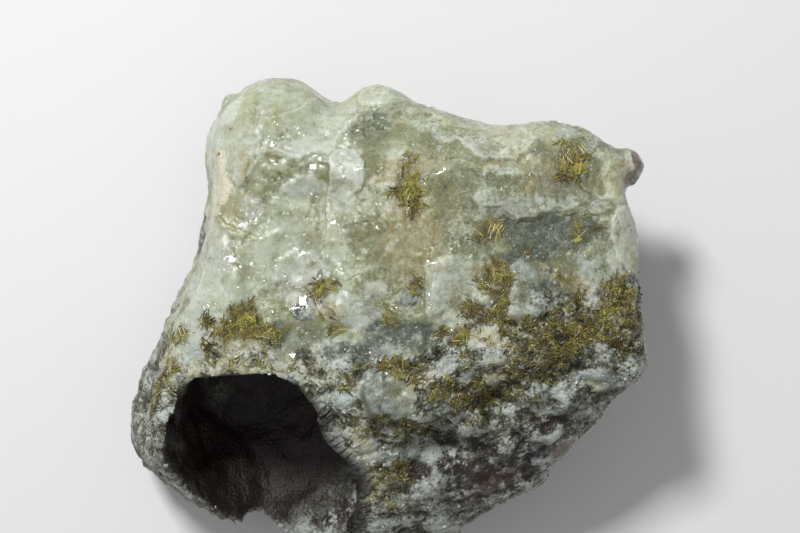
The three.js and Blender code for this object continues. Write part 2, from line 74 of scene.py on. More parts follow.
# Zones of the face seen from above, by what shows in them: middle x and y and half widths in mm, strength
# and, where a zone is turned, its turn in degrees.
ZONES = {
    "veil": [
        (-5.6, 16.7, 1.9, 0.9, 0.6), (16.7, -4, 3.3, 1.7, 0.9), (9, 2.9, 2.5, 3.9, 0.4),
        (-5, 1.8, 2.4, 2.6, 0.8), (-11, 9, 3.5, 1.1, 0.6, -20), (37, 9, 2, 6.4, 0.5, 8),
        (-28.5, -4.6, 2.6, 4.2, 0.9, -18), (-15.5, -8.4, 4.5, 1.6, 0.7), (14.5, 29.6, 3, 1.8, 0.4),
        (-29, 8, 1.6, 7, 0.8, -8), (30.4, 9.2, 1.6, 1.4, 0.8), (21, 13.3, 0.7, 0.9, 0.8),
        (18.5, 22.8, 4, 0.7, 0.7), (-27.2, -3.8, 1.4, 3.2, 1.2), (-14.5, 15, 2, 1, 0.5, 40),
        (18.4, -6, 1.2, 0.9, 0.9), (38.6, 22.4, 2, 2.6, 1.3), (26.7, 21.6, 1.4, 1.6, 1),
        (26.5, -11.3, 9, 1.4, 0.9, 22), (24.8, -20.8, 2.4, 2.2, 1.1), (19, -22, 1.8, 1.6, 0.6),
        (37.5, -9, 3, 2.6, 0.6), (20, 15.8, 2.4, 0.8, 0.9), (8.4, -11.2, 1.6, 1, 0.8),
        (28.6, -6.8, 1.4, 1.2, 1.3), (37.2, -5.8, 1.4, 1.8, 0.8), (-5.5, -34, 1, 4, 0.9, -12),
        # The veil zone at x -26.5, y 27 on the thin left edge is partly white fracture and partly painted
        # light, the brightness of light shining through that edge.
        (8, -9, 2.6, 1.6, 0.5), (-26.5, 27, 2, 7.4, 1, 6), (-25.6, 12, 1.6, 3.8, 1, 10),
        (-28.6, 2.6, 1.8, 3, 1.1), (-20, 17.2, 1.6, 2.4, 1), (-24.8, 8.3, 2, 2.6, 0.9),
        (-10, 6.6, 2, 1.4, 1.1), (-4.6, -0.6, 2, 1.2, 0.9), (23.6, -13.8, 2.6, 1, 1.1, 18),
        (-29, -2.4, 2, 4.6, 1), (12.5, -16.2, 1.6, 1.4, 1), (-15.3, 29.8, 1.4, 1.6, 0.5),
        (-3, -19.6, 3, 3, 1), (-3.4, -10.6, 1.2, 1.6, 0.6), (-23, -7.2, 6, 1.3, 0.8),
        (-7.6, -8.5, 1.6, 2.2, 0.7), (-4.6, -20, 2.6, 3.6, 0.9, -10), (6.8, -21.6, 2.6, 1.6, 0.7, 10),
        (6, -28.4, 3.4, 1.2, 0.6), (13.4, -17.2, 2, 1.2, 0.7), (15.6, -2.6, 2.2, 2.4, 0.9),
        (13.6, -8.8, 5, 1.6, 0.5, -6), (-12.6, 6.6, 4.4, 1.8, 0.9), (-11.4, 20.6, 4.2, 1.5, 1),
        (-33.5, -8, 2.4, 5, 1, -20), (-1, 4.4, 2, 1.8, 0.9), (-3.2, -1.2, 2.4, 1.4, 1.1),
        (28.8, 28.8, 2.4, 1.4, 0.9), (-26.2, -1.8, 2.6, 2, 0.9), (25, 20.8, 3, 1.2, 0.7),
        (-6.6, -13.5, 1.6, 3, 0.8), (-3.4, -24.5, 1.2, 4, 1.3, -12), (1.8, 20.4, 1.6, 1.6, 0.9),
        (19, 17, 1.2, 1.4, 1), (3.6, -17.4, 3.6, 1.3, 1.3), (-5.4, -9.4, 1.4, 1.8, 0.9),
        (24.6, 22.2, 2, 1.8, 0.6), (34.8, -5.4, 1.4, 1.4, 0.7),
    ],
    "deep": [
        (-1.8, 30.5, 3.1, 2, 0.5), (11.3, 19.8, 4, 4, 0.6), (2.9, 1.4, 2.2, 2.6, 0.8),
        (-9.6, 17.4, 0.9, 4.2, 0.7), (-25, 13.5, 1.6, 3.6, 0.4, 20), (4.6, -3, 5, 1.4, 0.5),
        (25, 8.2, 5, 2, 0.7), (-16.4, 24.9, 2, 1, 0.7), (33, 18, 2, 1.4, 0.5), (12, 24, 3, 1.6, 0.5, -20),
        (-12.6, 0.4, 3.8, 3.4, 1), (9, 14, 1.4, 3, 0.6), (7.4, 26.2, 3.6, 2, 0.8, -20),
        (3.4, 28.6, 2.6, 1.6, 0.7), (6.9, 22.6, 1.4, 1.2, 1.2), (-0.2, 9.6, 1.8, 1.4, 0.9),
        (16.7, 5.4, 1.4, 1.6, 0.9), (33, 21.6, 1.8, 3.4, 1.2), (22.2, 8.4, 2.6, 2.4, 1.1),
        (-12, 15.6, 4, 1.2, 0.5), (0.4, 32, 2.4, 1, 0.6), (11, 26.4, 1.6, 1.2, 0.8),
        (15, 6.8, 1.4, 1.4, 0.7), (-5.4, 15.6, 3.4, 2, 0.5), (4.4, 3.8, 2.8, 3.4, 1.4),
        (9.4, 10.6, 1.6, 1.2, 1.2), (-3.4, 19.4, 1.2, 1.6, 1), (10.2, 23.8, 2, 1.4, 0.9),
        (-1.5, 9, 4, 1, 0.6), (13.2, 16.4, 1.6, 2.2, 0.8), (31.3, 20.6, 1.6, 1.2, 0.6),
        (7.4, 23.6, 2.8, 1.2, 1.1), (-1, 23.4, 2.2, 2.8, 0.9, 30), (1.8, 14.6, 1.6, 1.8, 0.9),
        (9.2, 10, 1.8, 1.4, 1.1), (21.6, 4, 4.4, 1.8, 0.8), (12.4, -4.2, 1.4, 1.6, 0.8),
        (24.6, 6.2, 1.8, 1.4, 0.6), (35.6, 17.2, 1.6, 1.2, 0.7), (20, 9, 5, 3, 0.4),
        (-2, 20.4, 1.4, 3.4, 0.5, 20), (8.6, 9.4, 1.2, 1.6, 0.7),
    ],
    "slate": [
        (25, 13, 6, 4, 0.5), (1.5, -4, 6, 3, 0.6), (24, 12, 15, 13, 0.3), (-1, -12.6, 3.2, 3, 0.7),
        (22, 6, 2, 4, 0.6), (33.5, 12, 1.6, 2, 0.4), (-11, -3.4, 4.4, 2.6, 0.5),
        (37, 27, 2.2, 1.4, 0.6, -30), (2, 31.2, 2.6, 0.5, 0.5, 35), (-33.5, -4.5, 1.4, 3.4, 0.6, -20),
        (19, -12.5, 2, 1.6, 0.5), (31.5, 22.5, 2.4, 3.2, 0.35), (-1.4, -6.8, 4.4, 3, 1.2),
        (-13.6, -8.6, 1.4, 1.2, 0.7), (5.6, -10.4, 1.4, 2, 1), (5, 5, 1.4, 2.2, 0.7),
        (-11.2, 1.4, 2.4, 1.6, 1.1), (-15.6, -2.8, 2.2, 2.4, 1.1), (-7.6, -4.6, 2.6, 1.2, 0.9),
        (26.4, 3.8, 3, 2.4, 1.2), (8.6, -5.6, 1.4, 1.6, 0.7), (18, -16, 1.6, 2.4, 1.3),
        (4.6, 3.4, 1.6, 2, 1.1), (12.6, -19.4, 2.4, 1.6, 1.3), (22.4, -16.6, 1.8, 1.4, 1.2),
        (25, 12.4, 5, 2.4, 0.9), (32.5, -4.4, 1.8, 1.8, 0.9), (27.6, -3.8, 1.8, 1.4, 0.9),
        (-14.4, -9.6, 1.8, 1, 0.8), (-1, -9.2, 1.6, 3, 0.7), (11.8, -3.2, 1.6, 1.4, 0.9),
        (36.4, -8.1, 1.6, 1.2, 0.7), (-3.2, -4.4, 4, 1, 1), (35.1, 27.5, 1.6, 1, 0.6),
        (-1, 29.2, 3.4, 2.4, 0.75), (8.2, 28.3, 3, 1, 0.35), (30.8, -5.6, 1.4, 2.4, 0.8),
        (23.6, -10.8, 2.2, 1.4, 1.3), (22.5, 10.2, 3.6, 1.8, 1.1), (14, 31.4, 5, 0.9, 0.5, -10),
        (13.6, 13, 1.6, 3, 0.4), (29.6, -4.6, 1.2, 2, 0.4), (24.8, -16.6, 3.4, 0.8, 0.8, 12),
        (16.5, -24.5, 5, 3, 0.8, 20),
    ],
    "rust": [
        (8.2, 7.8, 2, 1.2, 0.6), (21.2, 24.6, 1.3, 0.5, 1), (-22.8, 26.4, 1.8, 0.5, 0.5, 10),
        (-23, 16.4, 1.8, 1.4, 0.5, 15), (-21.4, 24.2, 1.2, 2.4, 0.7), (-19.2, 26.2, 1.4, 0.5, 0.6, 10),
        (35.5, 21.8, 2.6, 1, 0.6, -15), (-11.4, 34, 1.4, 0.6, 0.8, -35), (24.5, 20.4, 3.6, 1, 0.3),
        (4, 17.4, 2.8, 1.6, 0.7), (17, 23.6, 3, 0.4, 0.7), (4.6, 12, 4.6, 5.4, 1),
        (-20.6, 21.6, 1.4, 4.4, 0.5), (0.5, 15, 2.6, 3.2, 0.6), (-8, 1.2, 2.4, 1.4, 0.9),
        (15.4, -2.6, 2.6, 1.4, 1), (-35, -8, 3, 5, 1, -20), (37.6, 22.6, 1.6, 2, 1),
        (-1.6, -26, 1.8, 4, 1.1, -10), (-22.5, -7.4, 2.4, 1.6, 1.3), (4.4, 23.6, 3.4, 1.6, 1),
        (24, 22.8, 3.4, 2, 0.7), (-23, -3.6, 6, 3.4, 0.6), (-12, -7, 3.2, 3, 0.5),
        (12.6, 2.6, 3, 3.4, 0.4), (6.6, -9, 2, 2.4, 0.6), (18, -7.6, 3.2, 2.2, 0.6),
        (-3.6, -17.6, 1.6, 2, 0.6), (37.6, 1.4, 1.2, 5.4, 1), (30, 5.4, 3, 2, 0.9),
        (24, 26.6, 0.8, 0.6, 0.6), (-21, 8.6, 2, 1.4, 0.3), (3, 30.6, 0.9, 1.4, 0.6, 30),
        (-14.6, 33.2, 2.6, 2, 0.25), (2.2, 9.2, 2.6, 1.5, 0.8), (0.6, 21.4, 2.6, 1, 0.7, 25),
        (19.8, -3, 3, 1.4, 1.3), (5.4, -9.8, 1.6, 1.8, 0.9), (-18.5, -8, 4, 1.4, 0.9),
        (0.8, 15.2, 2.2, 1.4, 0.7), (22.3, 20.6, 2.2, 1.4, 0.9), (31, 1.6, 2, 1.4, 0.7),
        (-26, -7.6, 5, 2.2, 0.8), (-9.4, -8.6, 2.6, 2, 0.6), (-3.8, -21, 2.2, 3.6, 0.9, -10),
        (6, -16, 2, 2.4, 0.5), (17.8, -9.2, 2.4, 1.8, 1.4), (38, -1, 1.6, 4, 0.7),
        (14.4, 7.3, 1.2, 1.4, 0.8), (-25.5, 16.5, 3, 6, 0.35), (6.5, -17.2, 2.4, 1.6, 1.3),
        (33, -10.4, 1.6, 1.6, 1), (30.8, 26, 1.2, 1.6, 0.6),
    ],
    "haze": [
        (-6.9, 22.7, 1.9, 2.2, 0.6), (-1.5, 1.3, 1.5, 1.8, 0.8), (-3.6, -0.8, 1.6, 1.4, 0.9),
        (-14, 5, 3, 2, 0.5), (-1, -9.8, 1.6, 3.6, 0.8), (0.4, -13, 2.4, 2.2, 0.8),
        (-6.3, -12.4, 2, 1.4, 0.7), (-28.7, -5.9, 1.4, 2.6, 0.8), (-18.6, 31.8, 2.4, 2.4, 0.5),
        (26.6, 29, 3, 1.2, 0.5), (32, 7.2, 1.2, 2.1, 1), (24.2, 2.1, 1.4, 1.8, 0.8),
        (34, 26, 2, 1.2, 0.4, -30), (18.5, -1.8, 1.3, 1.6, 0.7), (10.6, 33, 2.4, 1.2, 0.4),
        (20, -12.4, 4.4, 1.3, 0.8, 18), (34, 18.4, 1.8, 1.6, 0.6), (32.9, -9.9, 3, 1.8, 0.8, 20),
        (8.8, -13.4, 1.6, 1.4, 0.6), (26, -21.5, 2.2, 2, 0.6), (-3, -21, 1.2, 3, 0.7, -10),
        (29, 12, 2, 1, 0.5), (21.3, 7.2, 2.2, 1.4, 1), (9.8, -10.9, 1.4, 1.4, 0.6),
        (-15.5, -9.2, 5, 0.9, 0.7, -4),
    ],
    "chestnut": [
        (40.1, 24.9, 0.7, 1.9, 1, 18), (39.2, 21.9, 0.8, 1.9, 1, -31), (28.9, -20.7, 2.4, 1, 0.9, 45),
        (17.5, -26.6, 6.5, 2.4, 0.45, 25), (11.5, -20, 2.6, 1, 0.35, 10), (31.5, 9.5, 0.9, 0.5, 0.4),
    ],
    "glint": [
        (-19.2, 15.7, 2, 1.1, 1), (-15.3, 18.8, 1.3, 1, 1), (18, 15.7, 2.8, 0.8, 0.9),
        (7, 8.7, 0.9, 1.1, 1), (-4.9, 28.7, 2.4, 1.5, 1), (-10.3, 24, 1.2, 0.8, 0.8),
        (-0.4, -13.4, 0.9, 1, 1), (3.5, -12.7, 0.9, 0.9, 1), (19.1, -4.1, 2.3, 1.1, 1),
        (-22.9, 22.4, 0.6, 1.6, 1), (-25.8, 16, 0.7, 1.8, 1, -30), (-24.9, 9.8, 1.6, 1.3, 0.9),
        (-12, 11, 2, 1.4, 0.7), (-20, 8, 2.4, 1.4, 0.8), (7, 3.6, 1, 1.6, 0.7), (-6, 14, 1.2, 1.6, 0.6),
        (-1, 3, 1.6, 1.2, 0.6), (27, 9.4, 2, 1.4, 0.6),
    ],
    # These zones paint the brown weathered skin and, with it, painted shade on the low steep matrix, in its
    # crevices and on the hollow's floor.
    "umber": [
        (37.2, -11.6, 2, 0.7, 0.9, 38), (25, -17, 4.8, 1.4, 1.2, 14), (18.5, -25, 9.8, 4.4, 1.1, 25),
        (-10.5, -31.5, 6, 4.6, 1.2), (21, -19.2, 1.2, 1.6, 0.6), (10.6, -22.4, 2.4, 3.4, 1),
        (5.6, -24.2, 2.8, 1.6, 1),
    ],
    "olive": [
        (4.1, 21.2, 2.2, 3.8, 0.8), (-9.6, 3.2, 1.2, 1.8, 0.9), (5, 5.6, 1, 1.8, 0.75),
        (0.8, 19.2, 2.8, 0.4, 0.7, 25), (5.3, 16.4, 0.9, 2.5, 0.8), (4.4, 24.4, 2.2, 0.9, 0.9, 20),
        (29.6, 24.6, 2.4, 3.2, 1), (26.8, 21.3, 1.1, 1.4, 0.6), (16.7, 13.3, 2.2, 1.8, 0.9),
        (13.3, 12.4, 1.2, 0.5, 0.7), (22.1, 10.4, 0.6, 0.8, 1), (17.9, 6.3, 2.8, 2.6, 1),
        (18.2, 2.9, 1.8, 1.5, 0.8), (29.8, 13.3, 1.2, 2, 0.8), (33, 13.7, 0.6, 0.6, 0.8),
        (28.5, 6.4, 1.7, 0.9, 0.8), (36.2, 4.2, 2.6, 1.8, 0.9), (14.8, 1, 4.6, 1.4, 0.9, -15),
        (11.3, -2.3, 2.8, 1.2, 0.9), (16.7, -4, 1.2, 0.8, 0.5), (12.8, -6.3, 1.2, 2.2, 0.6),
        (3.3, -7.7, 3.8, 1.5, 0.85, -12), (1.3, -0.6, 1.2, 1.4, 0.8), (-4.2, -7.3, 0.8, 0.6, 0.8),
        (-5.3, -10.3, 1.4, 1.5, 0.6), (-9.5, 5.3, 0.6, 2.3, 1), (-8.1, 4.4, 0.5, 1.4, 1, -40),
        (-8.5, 1.3, 1.2, 0.9, 0.9), (-6.7, -0.8, 2.5, 0.9, 0.8, -15), (-21, 0.8, 2.6, 1.8, 1),
        (-26.1, -1.1, 2.6, 1.4, 0.5), (-21.8, -1.7, 4.4, 1.6, 1), (-16.8, -2, 2.8, 1.2, 0.7),
        (-20.5, -6.6, 3.6, 1, 0.6), (-17.1, -6.5, 0.9, 0.8, 0.7), (-26.8, -5.1, 0.6, 1.7, 0.7),
        (-31.8, -2.6, 2.2, 1.2, 0.6), (-32.8, -8.5, 2.2, 2.8, 0.6), (-36.8, -13.7, 1.8, 2.2, 0.6),
        (-12.5, -5.6, 2.5, 3.1, 0.35), (-7.1, -12.2, 2.2, 1.5, 0.4),
    ],
    "felt": [
        (27.5, -2.5, 7.4, 3.7, 1, 8), (35.9, -0.2, 4, 5.2, 1), (25.2, -7.1, 5.2, 3.1, 1, 20),
        (12.4, -11.9, 5.5, 2.5, 0.95, -8), (2.9, -16.6, 5.2, 2.3, 0.7, -5), (15.4, -16.3, 2.8, 2.2, 0.5),
        (-4.4, -16.2, 2.5, 2.5, 0.5), (1.6, -24.8, 3.4, 3.4, 0.7), (0.4, -30.2, 1.8, 2.2, 0.5),
        (29, 3, 3.6, 1.6, 0.7), (-35.5, -10.5, 2.2, 3.6, 0.6, -20), (37.6, -1, 2.2, 4, 1),
        (21.3, -11.7, 4.6, 1.8, 0.6, 20), (20.8, -1.2, 2.6, 2.6, 0.8),
    ],
}
# The seed and the raggedness in mm of the edges of each kind of zone.
ZONE_EDGES = {
    "veil": (41, 0.9), "deep": (43, 0.9), "slate": (45, 0.9), "rust": (47, 0.5), "olive": (55, 0.5),
    "felt": (57, 1.6), "haze": (59, 0.7), "glint": (63, 0.5), "chestnut": (65, 0.3), "umber": (51, 0.15),
}
# Fans of fine white fibres in the prehnite: middle x and y, and reach in mm.
FANS = [
    (-14.8, 20.6, 3.2), (-13.4, 12.8, 4.2), (-9.6, 8, 4), (-4.6, 24.6, 3.6), (16.4, 26.6, 3.6),
    (10.4, 7.4, 3.4),
]
# Brown specks: middle x and y, and radius in mm.
SPECKS = [
    (-25.4, 25.6, 0.36), (-26.9, 21.2, 0.3), (-25.6, 17.6, 0.3), (-18.2, 11.9, 0.2), (-22.8, 16.2, 0.18),
    (-21, 21.6, 0.16),
]
# Flakes and pools of the face: what shows in it, how strongly, how proud it stands in mm, the side on
# which it stands so, in degrees from +X, and its outline. It runs out flush on its other side.
FLAKES = {
    "frosted": ("veil", 0.95, 0.7, -90, [
        (-16.8, 25.8), (-15.1, 24.9), (-14.1, 24.3), (-12.8, 24.1), (-11, 24.9), (-9.5, 25.3), (-7.9, 25),
        (-7, 26), (-6.8, 27), (-7.9, 28.1), (-9.1, 28.9), (-10.7, 28.9), (-12.1, 28.4), (-13.1, 27.5),
        (-14.7, 27.8), (-15.9, 26.9),
    ]),
    "crown lens": ("veil", 0.35, 0.45, -20, [
        (-13.1, 29.3), (-11.6, 31), (-9.1, 32.1), (-5.6, 32.7), (-3.8, 32.9), (-3.6, 31), (-4.7, 29.5),
        (-5.8, 28.4), (-7, 27.3), (-9.1, 28.9), (-11.3, 28.7),
    ]),
    "second crown": ("veil", 0.4, 0.5, -120, [
        (-4.2, 34.4), (-3.8, 33.3), (-2.1, 32.7), (0.1, 33.3), (1.5, 34), (3.5, 34.1), (2.5, 35.5),
        (0.5, 37.5), (-2.1, 37.5), (-3.8, 35.6),
    ]),
    "white veil": ("veil", 0.9, 0.55, 60, [
        (-7.9, 24.7), (-6.8, 26), (-5.3, 26.6), (-3.8, 25.8), (-2.5, 24.1), (-2.2, 21.7), (-3, 19.8),
        (-4.7, 18.4), (-6.7, 17.2), (-8.1, 16.3),
    ]),
    "pale lens": ("veil", 0.75, 0.5, -90, [
        (12.2, 27), (13, 26.4), (14.1, 25.3), (15.5, 24.3), (17.2, 24.1), (19.3, 24.4), (20.8, 24.1),
        (22.1, 25.5), (23.3, 26.7), (23.9, 28), (23.6, 29.3), (22.1, 30), (19.8, 30.4), (17.8, 30.6),
        (15.5, 29), (13.6, 28.3), (11.6, 27.8),
    ]),
    "terrace": ("veil", 0.7, 0.5, -90, [
        (13.6, 18.9), (15.2, 17.2), (16.7, 16.9), (18.2, 17.3), (19.5, 16.3), (20.8, 15.3), (22.4, 15.5),
        (23.9, 16), (25.5, 16.4), (27, 16.9), (28.4, 16.4), (30.2, 17.2), (32.1, 18.3), (31.3, 19.8),
        (27.5, 20.4), (22.8, 20.7), (18.2, 20.3), (15.2, 19.8),
    ]),
    "right flake": ("veil", 0.7, 0.35, 180, [
        (35.2, 15.4), (35, 13.3), (35.9, 11.3), (36.4, 9.5), (37.5, 8), (39.5, 6.4), (42.5, 7.5),
        (42.5, 16), (39.8, 19), (37.9, 18), (36.6, 17.2),
    ]),
    "shoulder": ("rust", 0.4, 0.4, -120, [
        (27.5, 21.5), (29.9, 21.7), (31, 19.8), (33.3, 18.7), (37.5, 17.8), (39.8, 19.8), (37.5, 22.6),
        (33.6, 23.7), (29.8, 23.7),
    ]),
    "left flake": ("veil", 0.7, 0.5, -30, [
        (-23, 29.3), (-20.8, 30.3), (-19, 29.6), (-18.2, 27.5), (-18.5, 25.2), (-19.5, 23.2),
        (-20.7, 21.3), (-21.8, 20.1), (-23, 21.3), (-22.4, 24.4), (-23.3, 26.7),
    ]),
    "cream rind": ("cream", 1.3, 0.25, 180, [
        (-24.6, 27), (-23.4, 24.7), (-22.9, 22.2), (-22.9, 19.8), (-24, 17.8), (-25.4, 16.2),
        (-26.4, 14.2), (-27.2, 12), (-29.6, 12.4), (-29.4, 17.8), (-29, 20), (-28.8, 23.1), (-28.2, 25.6),
        (-26.4, 27),
    ]),
    "yellow rind": ("veil", 1.3, 0.3, -60, [
        (-23.4, 34.2), (-21.6, 34.2), (-22, 32.7), (-22.7, 31.3), (-23.3, 29.9), (-25.7, 29.9),
        (-25.4, 31.5), (-24.6, 33.4),
    ]),
    "pink flake": ("veil", 0.6, 0.3, -45, [
        (-21.6, 29.6), (-19.4, 30.4), (-18.3, 29.4), (-18.4, 27.4), (-19.8, 26.6), (-21.6, 27.2),
        (-22.3, 28.4),
    ]),
    "middle whites": ("veil", 0.85, 0.28, 180, [
        (6.5, 7.8), (7.2, 8.8), (9, 9.2), (11.3, 9.8), (13.3, 9.6), (13.9, 8.2), (13, 6.7), (13.6, 4.7),
        (12.4, 2.9), (11.3, 0.1), (9, -1.1), (7.2, -0.2), (6.5, 2.9), (7.8, 5.2), (6.8, 7.2),
    ]),
    "white column": ("veil", 0.45, 0.12, 180, [
        (19.8, 8.1), (21, 9.3), (22.5, 8.7), (23, 6.7), (22.7, 4.4), (23.4, 1.6), (22.8, -1), (20.6, -0.8),
        (19, 0.9), (19.6, 3.4), (20.4, 6),
    ]),
    "deep pool": ("deep", 0.85, -0.35, 90, [
        (-5.3, 14.1), (-3.3, 14.9), (-1.5, 15.3), (-0.2, 16.3), (1, 14.9), (1.3, 12.1), (0.4, 9.3),
        (-1.8, 8.1), (-4.5, 8.7), (-5.6, 11.3),
    ]),
    "crown hollow": ("deep", 0.6, -0.35, 150, [
        (-5.6, 28.7), (-3.6, 30.4), (-1.3, 31.6), (1.6, 30.9), (2.9, 28.7), (1.6, 26.4), (-0.2, 25.2),
        (-2.4, 25.7), (-3.9, 26.3), (-5.1, 27.2),
    ]),
    "olive hollow": ("deep", 0.3, -0.5, 100, [
        (-20.2, 24.7), (-18.4, 25.7), (-16.5, 25.3), (-14.7, 24.1), (-12.5, 23.5), (-9.1, 24.4),
        (-7.9, 23.7), (-8.2, 18.3), (-9.1, 17.5), (-9.8, 21.7), (-12.5, 22.3), (-14.4, 21), (-16.2, 19.8),
        (-18.4, 18.3), (-20.5, 18.3), (-21.1, 21.3),
    ]),
    "slate pool": ("slate", 0.85, -0.45, 90, [
        (19, 16.1), (20.8, 14.9), (22.4, 15), (23.9, 15.5), (25.5, 16), (27, 16.4), (28.7, 16.1),
        (30.8, 16.4), (33.3, 16.1), (34.2, 13.3), (33, 11.2), (30.2, 9.7), (26.8, 9.7), (24.4, 8.7),
        (21.9, 9.7), (19.8, 11.5), (18.2, 14),
    ]),
    "slate sliver": ("slate", 0.7, -0.08, 180, [
        (23.6, 27.8), (26.2, 27.5), (26.8, 26), (25.6, 24.7), (23.5, 24.7), (22.7, 25.7),
    ]),
    "rust pocket": ("rust", 0.6, -0.25, 180, [
        (4.1, 18.6), (6.5, 18.9), (8.1, 16.7), (8.4, 13.3), (7.5, 10.6), (5, 9.7), (3.5, 12.1), (3.3, 16),
    ]),
    "knob": ("slate", 0.3, 0.3, 120, [
        (-3, -8.2), (-0.2, -6.6), (2.9, -7.3), (5.2, -9.4), (5.6, -12.5), (4.1, -15), (0.5, -15.9),
        (-2.4, -14.6), (-3.6, -11.7),
    ]),
    "small knob": ("slate", 0.3, 0.3, 120, [
        (2.4, -11.9), (3.5, -11), (4.5, -11.9), (4.5, -13.4), (3.5, -14.2), (2.4, -13.3),
    ]),
    "low pool": ("slate", 1, -0.12, 90, [
        (-3.4, -1.6), (-1.5, 0.2), (2.9, 0.1), (7.5, -0.5), (9, -2.5), (6.7, -5.1), (2.9, -6.6), (-1, -6),
        (-3.6, -4.2),
    ]),
}
# Where the prehnite gives way to grey matrix, from left to right.
MATRIX_LINE = [
    (-42, -3), (-34, -4), (-28, -4.5), (-20, -4.5), (-12.5, -5), (-5, -6.5), (3, -7.2), (7.5, -4), (12, -1),
    (18, 3), (24.5, 4.4), (30.5, 5.2), (35, 6.7), (42, 9),
]
# Crisp ledges of the glassy face: the line, with its proud side on the left, the rise and the fade.
LEDGES = [
    ([(-8, 26), (-8.1, 20), (-8.7, 17), (-8.2, 14.4), (-8.6, 10.5)], 0.6, 3.0),
    ([(6.4, 11.5), (6.6, 7), (6.8, 3), (7, -1)], 0.5, 3.0),
    ([(22.5, 22.6), (18, 22.4), (14.5, 23.4), (11, 25.2)], 0.45, 2.0),
    ([(0.4, 32.5), (-3, 32.6), (-4.4, 30.6), (-7, 29.4)], 0.5, 2.5),
    ([(-15, 14), (-19, 12.6), (-24, 14.6), (-27, 18)], 0.4, 3.0),
    ([(-2, 8), (-6, 5), (-7.5, 1.5), (-5.5, -2)], 0.5, 3.0),
    ([(-12, 11.6), (-16, 9), (-17, 4)], 0.4, 2.5),
    ([(-10.5, 34.5), (-13, 32.5), (-17, 31), (-21, 31.5)], 0.5, 2.5),
    ([(12, 32), (9, 31), (5, 32.6), (2, 33.4)], 0.5, 2.5),
]
# Half the width in mm of a ledge's drop.
LEDGE_EDGE = 0.1
# The groove beside the brown nub, its reach and how far it is filled, in mm.
NUB_GROOVE = (38.8, 22.4, 29.5)
NUB_REACH = (1.4, 1.8, 3.5)
NUB_FILL = 1.1
# The hollow's middle and half widths, and how far its right wall is brought in under its lip, in mm.
HOLLOW_MIDDLE = (-17.5, -22, 25)
HOLLOW_REACH = (19, 19, 19.5)
LIP_FILL = 2.2
# Heights in mm over which the finish of the face fades in.
FACE_RISE = (14, 22)
# A flake stands out crisply from this rise in mm; where it starts and ends beside its outline, in mm.
CRISP_RISE = 0.3
CRISP_EDGE = (-0.12, 0.2)
SOFT_EDGE = (-0.7, 1.1)
# The parts of the face that are split once more: how far up they look and how high they lie, in mm.
FINE_FACING = 0.35
FINE_HEIGHT = 18
# How often the skin is smoothed before and after that, and from which angle in degrees its edges are crisp.
SMOOTHING = (7, 3)
CRISP_ANGLE = 38
# Colours of the matrix, of the felt on it and of its grains, from the darkest (painted shade in crevices) to
# the bare tops.
MATRIX_TONES = [
    (0.20, (0.014, 0.014, 0.008)), (0.31, (0.042, 0.042, 0.024)), (0.41, (0.085, 0.085, 0.054)),
    (0.50, (0.155, 0.16, 0.115)), (0.61, (0.27, 0.285, 0.24)), (0.76, (0.46, 0.50, 0.46)),
]
FELT_TONES = [
    (0.36, (0.008, 0.008, 0.003)), (0.48, (0.030, 0.028, 0.008)), (0.58, (0.075, 0.068, 0.018)),
    (0.68, (0.19, 0.175, 0.055)), (0.80, (0.38, 0.39, 0.28)),
]
GRAIN_TONES = [
    (0.05, (0.02, 0.02, 0.012)), (0.3, (0.07, 0.07, 0.044)), (0.5, (0.15, 0.155, 0.115)),
    (0.75, (0.33, 0.35, 0.30)), (1.0, (0.56, 0.60, 0.56)),
]
# Brown coating and painted shade, where thick, worn and nearly gone, and the tints that multiply the matrix.
COATING_AND_SHADE_DARK, COATING_AND_SHADE_WORN, COATING_AND_SHADE_BARE = (0.006, 0.004, 0.003), (0.075, 0.055, 0.047), (0.21, 0.20, 0.18)
BLUE_TINT, TAN_TINT = (0.93, 1.0, 1.05), (1.15, 1.0, 0.68)
# Large numbers that turn a whole-numbered cell and a seed into repeatable random numbers.
CELL_PRIMES = (73856093, 19349663, 83492791)
SEED_PRIME = 2654435761
SALTS = (0x9E3779B1, 0x85EBCA6B, 0xC2B2AE35)
# Seeds of the random draws.
SPRAY_SEED, FELT_SEED, GRAIN_SEED = 71, 73, 79
# The studio, in mm: where the camera and the key light are, what the light aims at and how wide it is.
CAMERA_PLACE = (2.85, 8.04, 381.9)
CAMERA_LENS = 100
KEY_PLACE = (-150, 260, 470)
KEY_AIM = (0, 0, 30)
KEY_WIDTH = 90
FLOOR_WIDTH = 4000
FLOOR_DROP = 0.2


# ---------------------------------------------------------------- numbers over the skin

def smooth(value, low, high):
    """Rises smoothly from 0 at low to 1 at high."""
    share = np.clip((value - low) / (high - low), 0, 1)
    return share * share * (3 - 2 * share)


def hashed(cell, seed):
    """Three repeatable random numbers from 0 to 1 for each whole-numbered cell."""
    mixed = seed * SEED_PRIME
    for axis, prime in enumerate(CELL_PRIMES):
        mixed = mixed ^ cell[..., axis].astype(np.int64) * prime
    values = []
    for salt in SALTS:
        h = (mixed * salt) & 0xFFFFFFFF
        h ^= h >> 15
        h = (h * 0x2C1B3C6D) & 0xFFFFFFFF
        h ^= h >> 13
        values.append((h & 0xFFFFFF) / 0xFFFFFF)
    return np.stack(values, axis=-1)


def clouds(points, size, seed, octaves=3):
    """Soft noise between about -1 and 1, whose largest lumps are of that size."""
    total = np.zeros(len(points))
    weight = 1.0
    for octave in range(octaves):
        scaled = points * (2 ** octave / size) + 17.3 * octave
        low = np.floor(scaled)
        share = scaled - low
        share = share * share * (3 - 2 * share)
        for corner in np.ndindex(2, 2, 2):
            corner = np.array(corner)
            blend = np.prod(np.where(corner, share, 1 - share), axis=1)
            total += weight * blend * (2 * hashed(low + corner, seed + octave)[:, 0] - 1)
        weight *= 0.5
    return total


